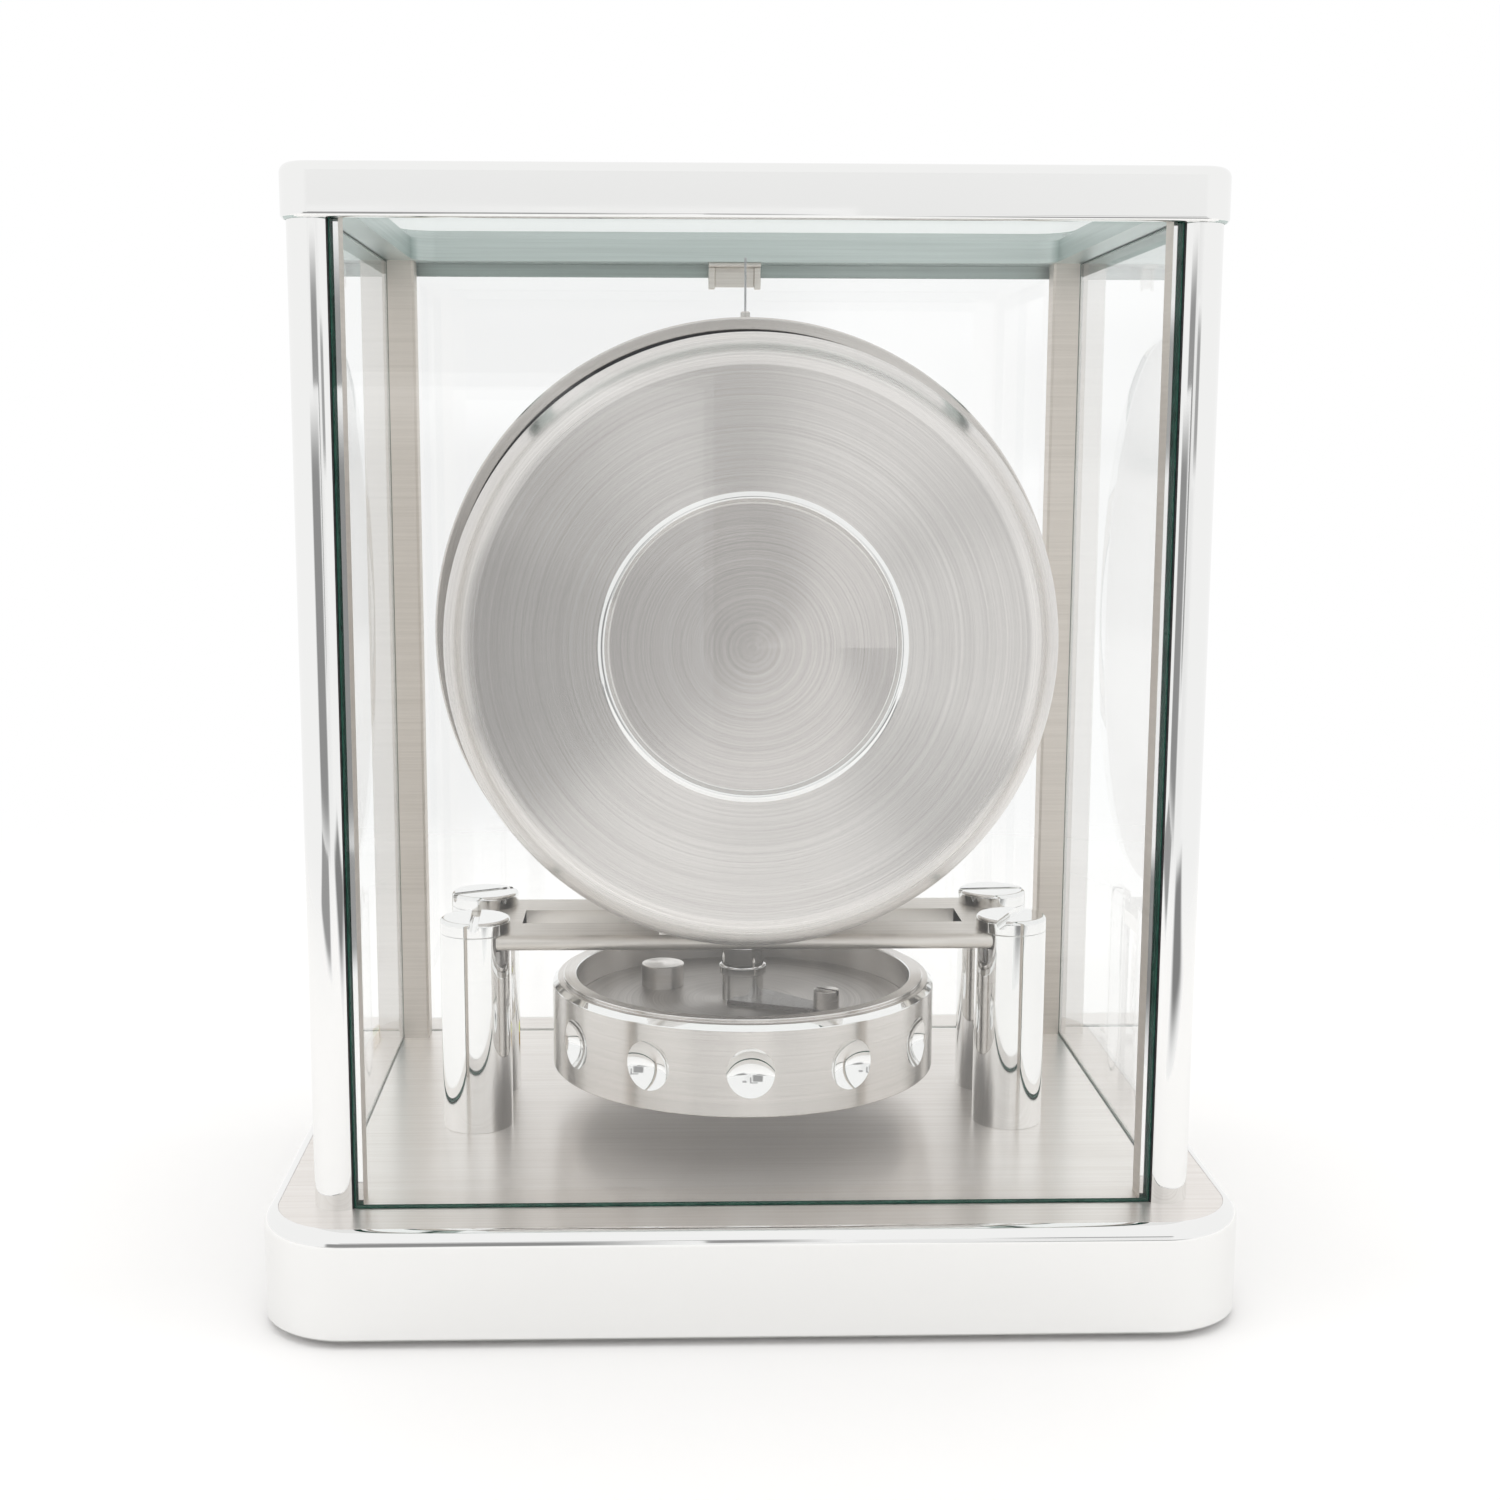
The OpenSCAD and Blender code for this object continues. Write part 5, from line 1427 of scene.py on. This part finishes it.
@dataclass
class Balance(SubAssembly):
    """The torsion balance: dimpled ring, floor, hub, timing arm, screw and weight."""

    rim_w: float = 5.7
    rim_step: float = 0.8
    rim_bevel: float = 1.2
    rim_flat: float = 1.4
    # Least and most that a polished bevel looks up
    rim_slope: tuple[float, float] = (0.3, 0.95)
    dimples: int = 12
    dimple_d: float = 11.4
    dimple_depth: float = 2.2
    dimple_share: float = 0.47
    spigot_r: float = 3.05
    spigot_fit: float = 0.05
    stem_r: float = 5.0
    stem_gap: float = 1.5
    collar_at: float = 6.5
    collar_h: float = 2.0
    collar_out: float = 0.6
    neck_r: float = 2.0
    roller_r: float = 6.5
    roller_t: float = 1.5
    roller_drop: float = 4.49
    pin_r: float = 0.5
    pin_at: float = 5.0
    pin_root: float = 0.1
    arm_t: float = 1.2
    arm_root: float = 7.0
    arm_end: float = 2.5
    arm_round: float = 2.4
    arm_edge: float = 0.2
    arm_eye: float = 3.4
    timing_at: float = 23.0
    timing_dir: float = 146.0
    timing_r: float = 3.0
    screw_rise: float = 2.4
    weight_r: float = 5.2
    weight_drop: float = 2.0
    slot_w: float = 0.8
    slot_reach: float = 5.0
    button_edges: tuple[float, float] = (0.0, 0.25)

    def build(self) -> None:
        """Builds the balance from the ring inwards."""
        self.build_ring()
        low, high = box_mm("balance_floor")
        floor = Mould().turn([Corner(self.spigot_r, low.z), Corner(self.spigot_r, high.z),
                              Corner(high.x, high.z, 0.1), Corner(high.x, low.z, 0.1)], balance_axis(),
                             steps=192, segments=2)
        self.keep(floor, "floor", "balance_floor")
        self.build_hub(high.z)
        self.build_timing(high.z)

    def build_ring(self) -> None:
        """Builds the ring with its stepped rim and its row of mirror dimples."""
        low, high = box_mm("balance_ring")
        radius = high.x
        inner = radius - self.rim_w
        ledge = high.z - self.rim_step
        step_r = radius - self.rim_bevel - self.rim_flat
        ring = Mould().turn([Corner(inner, low.z), Corner(radius, low.z, 0.4),
                             Corner(radius, ledge - self.rim_bevel, 0.15),
                             Corner(radius - self.rim_bevel, ledge, 0.15), Corner(step_r, ledge, 0.1),
                             Corner(step_r, high.z, 0.2), Corner(inner, high.z, 0.4)], balance_axis(),
                            steps=240, segments=4)
        least, most = self.rim_slope
        ring.finish_where(1, lambda face: least < face.normal.z < most)
        ball = (self.dimple_d ** 2 / 4 + self.dimple_depth ** 2) / (2 * self.dimple_depth)
        height = low.z + self.dimple_share * (high.z - low.z)
        balls = Mould()
        for i in range(self.dimples):
            angle = math.pi / 2 + FULL_TURN * i / self.dimples
            out = Vector((math.cos(angle), math.sin(angle), 0))
            place = balance_axis() + out * (radius + ball - self.dimple_depth) + Vector((0, 0, height))
            bmesh.ops.create_icosphere(balls.mesh, subdivisions=5, radius=ball,
                                       matrix=Matrix.Translation(place))
        self.keep(ring.carve(balls, finish=1), "ring", "balance_ring")

    def build_hub(self, floor: float) -> None:
        """Builds the stem with its collar, the neck, the roller and its pin.

        Args:
            floor: Height of the floor's upper face.
        """
        low, high = box_mm("balance_hub")
        bridge, _ = box_mm("bridge_plate")
        spigot = self.spigot_r - self.spigot_fit
        collar = floor + self.collar_at
        collar_top = collar + self.collar_h
        collar_r = self.stem_r + self.collar_out
        stem_top = bridge.z - self.stem_gap
        roller = high.z - self.roller_drop
        roller_top = roller + self.roller_t
        hub = Mould().turn([Corner(0, low.z), Corner(spigot, low.z), Corner(spigot, floor),
                            Corner(self.stem_r, floor), Corner(self.stem_r, collar),
                            Corner(collar_r, collar, 0.2), Corner(collar_r, collar_top, 0.2),
                            Corner(self.stem_r, collar_top),
                            Corner(self.stem_r, stem_top, 0.5), Corner(self.neck_r, stem_top),
                            Corner(self.neck_r, roller), Corner(self.roller_r, roller, 0.2),
                            Corner(self.roller_r, roller_top, 0.2), Corner(0, roller_top)], balance_axis(),
                           steps=96, segments=4)
        pin = Mould().rod(self.pin_r, roller_top - self.pin_root, high.z,
                          balance_axis() - Vector((0, self.pin_at, 0)), edges=(0.0, 0.2), steps=24,
                          segments=3)
        self.keep(hub.join(pin), "hub", "balance_hub")

    def build_timing(self, floor: float) -> None:
        """Builds the timing arm, the slotted screw at its end and the weight across from it.

        Args:
            floor: Height of the floor's upper face.
        """
        _, head = box_mm("timing_arm")
        _, pins = box_mm("timing_pins")
        place = Matrix.Translation(balance_axis()) @ Matrix.Rotation(math.radians(self.timing_dir), 4, "Z")
        at = Vector((self.timing_at, 0, 0))
        top = floor + self.arm_t
        outline = [(0, -self.arm_root), (at.x, -self.arm_end), (at.x, self.arm_end), (0, self.arm_root)]
        arm = Mould()
        roundings = [0.0, self.arm_round, self.arm_round, 0.0]
        verts = arm.wire([Vector((x, y, floor)) for x, y in outline], roundings, True)
        arm.raise_face(edges_of(verts), Vector((0, 0, self.arm_t)))
        upper = [edge for edge in arm.mesh.edges if all(v.co.z > floor + self.arm_t / 2 for v in edge.verts)]
        arm.round_edges(upper, self.arm_edge, 2)
        arm.join(Mould().rod(self.arm_eye, floor, top, at, edges=self.button_edges, steps=64, segments=4))
        self.keep(arm.move(place), "arm", "timing_arm")
        screw_top = head.z + self.screw_rise
        screw = Mould().rod(self.timing_r, top, screw_top, at, edges=self.button_edges, steps=64, segments=4)
        slot = Mould()
        slot.block(Vector((at.x - self.slot_reach, -self.slot_w / 2, screw_top - self.screw_rise / 2)),
                   Vector((at.x + self.slot_reach, self.slot_w / 2, screw_top + self.slot_reach)))
        weight = Mould().rod(self.weight_r, floor, pins.z - self.weight_drop, -at, edges=self.button_edges,
                             steps=64, segments=4)
        self.keep(screw.carve(slot).join(weight).move(place), "screw_and_weight", "timing_pins")

    def dress(self) -> None:
        """Gives the ring turned faces, the floor a satin with painted shade, and the dimples and bevel a
        mirror.
        """
        # The floor's darker satin colour is painted shade
        self.paint({"ring": (TURNED_NICKEL, POLISHED_NICKEL), "floor": SHADED_SATIN_NICKEL, "hub": POLISHED_NICKEL,
                    "arm": GREY_STEEL, "screw_and_weight": TURNED_NICKEL})


@dataclass
class Drum(SubAssembly):
    """The bellows drum: spun can, lid, bellows, pressure plate and spring."""

    wall: float = 1.5
    round_rear: float = 7.0
    recess_r: float = 30.8
    recess_depth: float = 1.2
    recess_step: float = 1.6
    bead_rise: float = 0.35
    bead_w: float = 1.3
    bead_round: float = 0.3
    bead_lean: float = 0.35
    bead_reach: float = 0.4
    # Least that a face of the recess's floor looks back
    floor_face: float = 0.9

    def build(self) -> None:
        """Builds the can and the pieces inside it that stretch."""
        self.build_can()
        low, high = box_mm("bellows")
        self.build_stretching("folds", "bellows", high.y, low.y)
        low, high = box_mm("bellows_spring")
        self.build_stretching("coils", "bellows_spring", low.y, high.y)

    def build_stretching(self, name: str, node: str, fixed: float, moving: float) -> None:
        """Copies a CAD node that stretches along Y from its fixed end to the pressure plate."""
        reach = Stretch("pressure_plate", Vector((0, fixed, 0)), Vector((0, moving, 0)))
        self.keep(Mould().take(node), name, node, stretch=reach)

    def build_can(self) -> None:
        """Builds the can as a closed sheet with a rolled edge and a sunk middle."""
        low, high = box_mm("drum_can")
        axis = Vector((0, 0, (low.z + high.z) / 2))
        radius = high.x
        face = high.y
        back = face - self.wall
        sunk = face - self.recess_depth
        inner = radius - self.wall
        shoulder = self.recess_r + self.recess_step
        crest = shoulder - self.bead_w / 2
        bead = face + self.bead_rise
        ease = self.bead_round
        can = Mould().turn([Corner(0, sunk), Corner(self.recess_r - ease, sunk, ease),
                            Corner(crest - self.bead_lean, bead, ease), Corner(crest + ease, bead, ease),
                            Corner(shoulder + ease, face, ease), Corner(radius, face, self.round_rear),
                            Corner(radius, low.y, ease), Corner(inner, low.y, ease),
                            Corner(inner, back, self.round_rear - self.wall), Corner(shoulder, back),
                            Corner(self.recess_r, sunk - self.wall), Corner(0, sunk - self.wall)],
                           axis, Axis.BACK, steps=288, segments=16)

        def from_axis(part: BMFace) -> tuple[float, float]:
            """Gives how far a face's middle lies from the axis, and where along it."""
            place = part.calc_center_median() - axis
            return math.hypot(place.x, place.z), place.y

        def on_bead(part: BMFace) -> bool:
            """Tells whether a face lies on the bead round the recess."""
            out, along = from_axis(part)
            return along > sunk - MM and self.recess_r - ease < out < shoulder + self.bead_reach

        def on_roll(part: BMFace) -> bool:
            """Tells whether a face lies on the rolled edge."""
            out, along = from_axis(part)
            return along > face - self.round_rear and out > radius - self.round_rear

        def in_recess(part: BMFace) -> bool:
            """Tells whether a face looks back from the floor of the recess."""
            out, along = from_axis(part)
            return part.normal.y > self.floor_face and along < sunk + MM and out < self.recess_r

        # The roll gets a brighter copy of the sheet as a painted highlight, the recess's floor a darker copy
        # as painted shade
        for finish, test in enumerate((on_bead, on_roll, in_recess), 1):
            can.finish_where(finish, test)
        self.keep(can, "can", "drum_can")

    def dress(self) -> None:
        """Gives the can its ringed brushing, with a painted highlight on the roll and painted shade in the
        recess, and the hidden pieces plain finishes.
        """
        self.paint({"can": (SPUN_STEEL, POLISHED_NICKEL, HIGHLIT_ROLL_STEEL, SHADED_RECESS_STEEL), "drum_lid": BLACKED_STEEL,
                    "folds": GILT_BRASS, "bellows_plate": GROUND_STEEL, "coils": GROUND_STEEL})


@dataclass
class Fittings(SubAssembly):
    """The balance lock and the spirit level on the deck."""

    lever_w: float = 5.0
    lever_t: float = 2.0
    end_share: float = 0.7
    arm_edge: float = 0.3
    eye_edges: tuple[float, float] = (0.2, 0.3)
    knob_r: float = 2.5
    knob_waist: float = 0.8
    knob_sunk: float = 0.5
    knob_flare: float = 1.5
    bore_r: float = 2.55
    level_rim: float = 1.0
    level_floor: float = 1.5
    level_gap: float = 0.25
    vial_gap: float = 0.05
    vial_seam: float = 0.02
    bubble_r: float = 1.7
    circle_w: float = 0.25
    circle_t: float = 0.08

    def build(self) -> None:
        """Builds the lever and the level."""
        self.build_lever()
        self.build_level()

    def build_lever(self) -> None:
        """Builds the lock lever: a round eye, a flat arm and a knob."""
        low, high = box_mm("lock_lever")
        y = (low.y + high.y) / 2
        end_r = self.end_share * self.lever_w
        pivot = Vector((low.x + self.lever_w, y, 0))
        end = Vector((high.x - end_r, y, 0))
        top = low.z + self.lever_t
        root = top - self.knob_sunk
        lever = Mould().turn([Corner(0, root), Corner(self.knob_r, root),
                              Corner(self.knob_r * self.knob_waist, top + self.knob_flare, 0.5),
                              Corner(self.knob_r, high.z, 0.8), Corner(0, high.z)], end, steps=48)
        arm = Mould()
        arm.block(Vector((pivot.x, y - self.lever_w / 2, low.z)),
                  Vector((end.x, y + self.lever_w / 2, top)), self.arm_edge)
        eyes = [Mould().rod(radius, low.z, top, place, edges=self.eye_edges, steps=64, segments=4)
                for place, radius in ((pivot, self.lever_w), (end, end_r))]
        # Each form is bored before they are joined, since a cut needs forms that don't cross
        for form in (arm, *eyes):
            lever.join(form.carve(Mould().rod(self.bore_r, low.z - 1, top + 1, pivot, steps=48)))
        self.keep(lever, "lever", "lock_lever")

    def build_level(self) -> None:
        """Builds the spirit level: a cup, its fluid and a circle for the bubble."""
        low, high = box_mm("spirit_level")
        centre = Vector(((low.x + high.x) / 2, (low.y + high.y) / 2, 0))
        radius = (high.x - low.x) / 2
        inner = radius - self.level_rim
        seat = low.z + self.level_floor
        crown = high.z - self.level_gap
        cup = Mould().turn([Corner(0, low.z), Corner(radius, low.z, 0.2), Corner(radius, high.z, 0.35),
                            Corner(inner, high.z, 0.2), Corner(inner, seat), Corner(0, seat)], centre,
                           steps=96, segments=5)
        self.keep(cup, "level_cup", "spirit_level")
        vial = Mould().rod(inner - self.vial_gap, seat + self.vial_seam, crown, centre, edges=(0.0, 0.3),
                           steps=96, segments=5)
        self.keep(vial, "level_fluid", "spirit_level", stands_for=False)
        outer = self.bubble_r + self.circle_w
        top = crown + self.circle_t
        circle = Mould().turn([Corner(self.bubble_r, crown), Corner(outer, crown), Corner(outer, top, 0.03),
                               Corner(self.bubble_r, top, 0.03)], centre, steps=64, segments=2)
        self.keep(circle, "level_circle", "spirit_level", stands_for=False)

    def dress(self) -> None:
        """Gives the lever a polish and the level brass and a yellow-green fluid."""
        self.paint({"lever": POLISHED_NICKEL, "level_cup": GILT_BRASS, "level_fluid": TINTED_SPIRIT,
                    "level_circle": BLACKED_STEEL})


@dataclass(frozen=True)
class Card:
    """A studio card that shows only in reflections: its sizes in millimetres and its grey level."""

    name: str
    centre: tuple[float, float, float]
    width: float
    height: float
    level: float
    border: float
    tilt: float = 90.0


class Lamp(NamedTuple):
    """A soft square lamp: its place in millimetres, its side in metres and its power in watts."""

    name: str
    place: tuple[float, float, float]
    side: float
    power: float


@dataclass
class Studio:
    """The floor, the white surroundings, the cards, the lamps and the camera."""

    floor_half: float = 1400.0
    floor_fade: tuple[float, float] = (260.0, 620.0)
    floor_colour: str = "F5F4F3"
    ambient: float = 1.0
    camera_place: tuple[float, float, float] = (19.672, 473.461, 183.773)
    camera_pitch: float = 8.858
    camera_heading: float = 178.326
    camera_roll: float = 0.117
    focal_px: float = 2009.233
    image_px: float = 1500.0
    middle_px: tuple[float, float] = (718.098, 760.572)
    sensor: float = 36.0
    nearest: float = 0.01
    cards: tuple[Card, ...] = (
        Card("figure_by_camera", (81, 640, 172), 310, 236, 0.33, 0.35),
        Card("sleeve_by_camera", (190, 560, 100), 380, 220, 0.3, 0.35),
        Card("cloth_by_camera", (230, 480, 2), 280, 280, 0.35, 0.3, tilt=0.0),
        Card("cloth_right_of_camera", (-190, 400, 2), 260, 340, 0.25, 0.5, tilt=0.0),
        Card("curtain_right_of_camera", (-230, 640, 210), 200, 90, 0.4, 0.5),
        Card("room_ahead", (0, -1300, 110), 1000, 220, 0.85, 0.4),
        Card("room_behind_camera", (0, 1500, 150), 1500, 900, 0.9, 0.7),
    )
    lamps: tuple[Lamp, ...] = (Lamp("lamp_over", (0, 100, 1300), 1.6, 4.2),
                               Lamp("lamp_left", (-1100, 250, 500), 0.7, 1.4),
                               Lamp("lamp_right", (1100, 250, 500), 0.7, 1.4))
    lamp_aim: tuple[float, float, float] = (0, 0, 120)

    def build(self) -> None:
        """Builds the studio."""
        self.build_world()
        self.build_floor()
        for card in self.cards:
            self.build_card(card)
        for lamp in self.lamps:
            self.build_lamp(lamp)
        self.build_camera()

    def build_world(self) -> None:
        """Makes surroundings that are white to look at and have a level of their own as a light."""
        world = bpy.data.worlds.new("white_tent")
        world.use_nodes = True
        tree = world.node_tree
        tree.nodes.clear()
        path = add_node(tree, "ShaderNodeLightPath")
        seen = add_node(tree, "ShaderNodeMath",
                        {0: path.outputs["Is Camera Ray"], 1: path.outputs["Is Glossy Ray"]},
                        operation="MAXIMUM")
        seen = add_node(tree, "ShaderNodeMath",
                        {0: seen.outputs["Value"], 1: path.outputs["Is Transmission Ray"]},
                        operation="MAXIMUM")
        level = add_node(tree, "ShaderNodeMapRange", {"Value": seen.outputs["Value"], "To Min": self.ambient,
                                                      "To Max": 1.0})
        tent = add_node(tree, "ShaderNodeBackground",
                        {"Color": (1, 1, 1, 1), "Strength": level.outputs["Result"]})
        output = add_node(tree, "ShaderNodeOutputWorld")
        tree.links.new(tent.outputs["Background"], output.inputs["Surface"])
        bpy.context.scene.world = world

    def hang(self, name: str, half: float) -> tuple[bpy.types.Object, bpy.types.NodeTree]:
        """Makes a level square of the stage, with an empty material.

        Args:
            name: Its name, which the material gets too.
            half: Half its side, in metres.

        Returns:
            The square and its material's nodes.
        """
        mesh = bmesh.new()
        bmesh.ops.create_grid(mesh, x_segments=1, y_segments=1, size=half)
        data = bpy.data.meshes.new(name)
        mesh.to_mesh(data)
        mesh.free()
        square = bpy.data.objects.new(name, data)
        bpy.context.scene.collection.objects.link(square)
        paint = bpy.data.materials.new(name)
        paint.use_nodes = True
        paint.node_tree.nodes.clear()
        data.materials.append(paint)
        return square, paint.node_tree

    def build_floor(self) -> None:
        """Makes a pale floor that keeps the clock's shadow and fades into the white."""
        _, tree = self.hang("floor", self.floor_half * MM)
        spot = add_node(tree, "ShaderNodeTexCoord")
        reach = add_node(tree, "ShaderNodeVectorMath", {0: spot.outputs["Object"]}, operation="LENGTH")
        near, far = (distance * MM for distance in self.floor_fade)
        fade = add_node(tree, "ShaderNodeMapRange",
                        {"Value": reach.outputs["Value"], "From Min": near, "From Max": far},
                        interpolation_type="SMOOTHSTEP")
        paper = add_node(tree, "ShaderNodeBsdfDiffuse", {"Color": linear(self.floor_colour)})
        clear = add_node(tree, "ShaderNodeBsdfTransparent")
        mixed = add_node(tree, "ShaderNodeMixShader", {0: fade.outputs["Result"], 1: paper.outputs["BSDF"],
                                                       2: clear.outputs["BSDF"]})
        output = add_node(tree, "ShaderNodeOutputMaterial")
        tree.links.new(mixed.outputs["Shader"], output.inputs["Surface"])

    def build_card(self, card: Card) -> None:
        """Hangs a soft-edged grey card that only reflections see.

        Args:
            card: Its place, size and level.
        """
        board, tree = self.hang(card.name, 0.5)
        board.matrix_world = (Matrix.Translation(Vector(card.centre) * MM)
                              @ Matrix.Rotation(math.radians(card.tilt), 4, "X")
                              @ Matrix.Diagonal((card.width * MM, card.height * MM, 1, 1)))
        board.visible_camera = False
        board.visible_transmission = False
        board.visible_diffuse = False
        board.visible_shadow = False
        spot = add_node(tree, "ShaderNodeTexCoord")
        apart = add_node(tree, "ShaderNodeVectorMath", {0: spot.outputs["Object"]}, operation="ABSOLUTE")
        apart = add_node(tree, "ShaderNodeSeparateXYZ", {"Vector": apart.outputs["Vector"]})
        rim = add_node(tree, "ShaderNodeMath",
                       {0: apart.outputs["X"], 1: apart.outputs["Y"], 2: card.border / 2},
                       operation="SMOOTH_MAX")
        level = add_node(tree, "ShaderNodeMapRange",
                         {"Value": rim.outputs["Value"], "From Min": 0.5 * (1 - card.border), "From Max": 0.5,
                          "To Min": card.level, "To Max": 1.0}, interpolation_type="SMOOTHSTEP")
        light = add_node(tree, "ShaderNodeEmission",
                         {"Color": (1, 1, 1, 1), "Strength": level.outputs["Result"]})
        output = add_node(tree, "ShaderNodeOutputMaterial")
        tree.links.new(light.outputs["Emission"], output.inputs["Surface"])

    def build_lamp(self, lamp: Lamp) -> None:
        """Hangs a soft lamp that no metal mirrors.

        Args:
            lamp: Its place, size and power.
        """
        light = bpy.data.lights.new(lamp.name, "AREA")
        light.shape = "SQUARE"
        light.size = lamp.side
        light.energy = lamp.power
        holder = bpy.data.objects.new(lamp.name, light)
        holder.location = Vector(lamp.place) * MM
        aim = Vector(self.lamp_aim) * MM - holder.location
        holder.rotation_euler = aim.to_track_quat("-Z", "Y").to_euler()
        holder.visible_camera = False
        holder.visible_glossy = False
        holder.visible_transmission = False
        bpy.context.scene.collection.objects.link(holder)

    def build_camera(self) -> None:
        """Sets the camera where the photograph was taken from."""
        data = bpy.data.cameras.new("camera")
        data.sensor_width = self.sensor
        data.lens = self.focal_px * self.sensor / self.image_px
        data.shift_x = (self.image_px / 2 - self.middle_px[0]) / self.image_px
        data.shift_y = (self.middle_px[1] - self.image_px / 2) / self.image_px
        data.clip_start = self.nearest
        camera = bpy.data.objects.new("camera", data)
        camera.matrix_world = (Matrix.Translation(Vector(self.camera_place) * MM)
                               @ Matrix.Rotation(math.radians(self.camera_heading), 4, "Z")
                               @ Matrix.Rotation(math.radians(90 - self.camera_pitch), 4, "X")
                               @ Matrix.Rotation(math.radians(self.camera_roll), 4, "Z"))
        bpy.context.scene.collection.objects.link(camera)
        bpy.context.scene.camera = camera


def main() -> None:
    """Builds the clock's sub-assemblies and the studio in order."""
    logging.basicConfig(level=logging.INFO, format="%(name)s: %(message)s")
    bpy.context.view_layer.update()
    bpy.context.scene.view_settings.view_transform = "Standard"
    for part in (Base(), Case(), Stand(), Movement(), Dial(), Balance(), Drum(), Fittings()):
        part.build()
        part.dress()
    Studio().build()


if __name__ == "__main__":
    main()
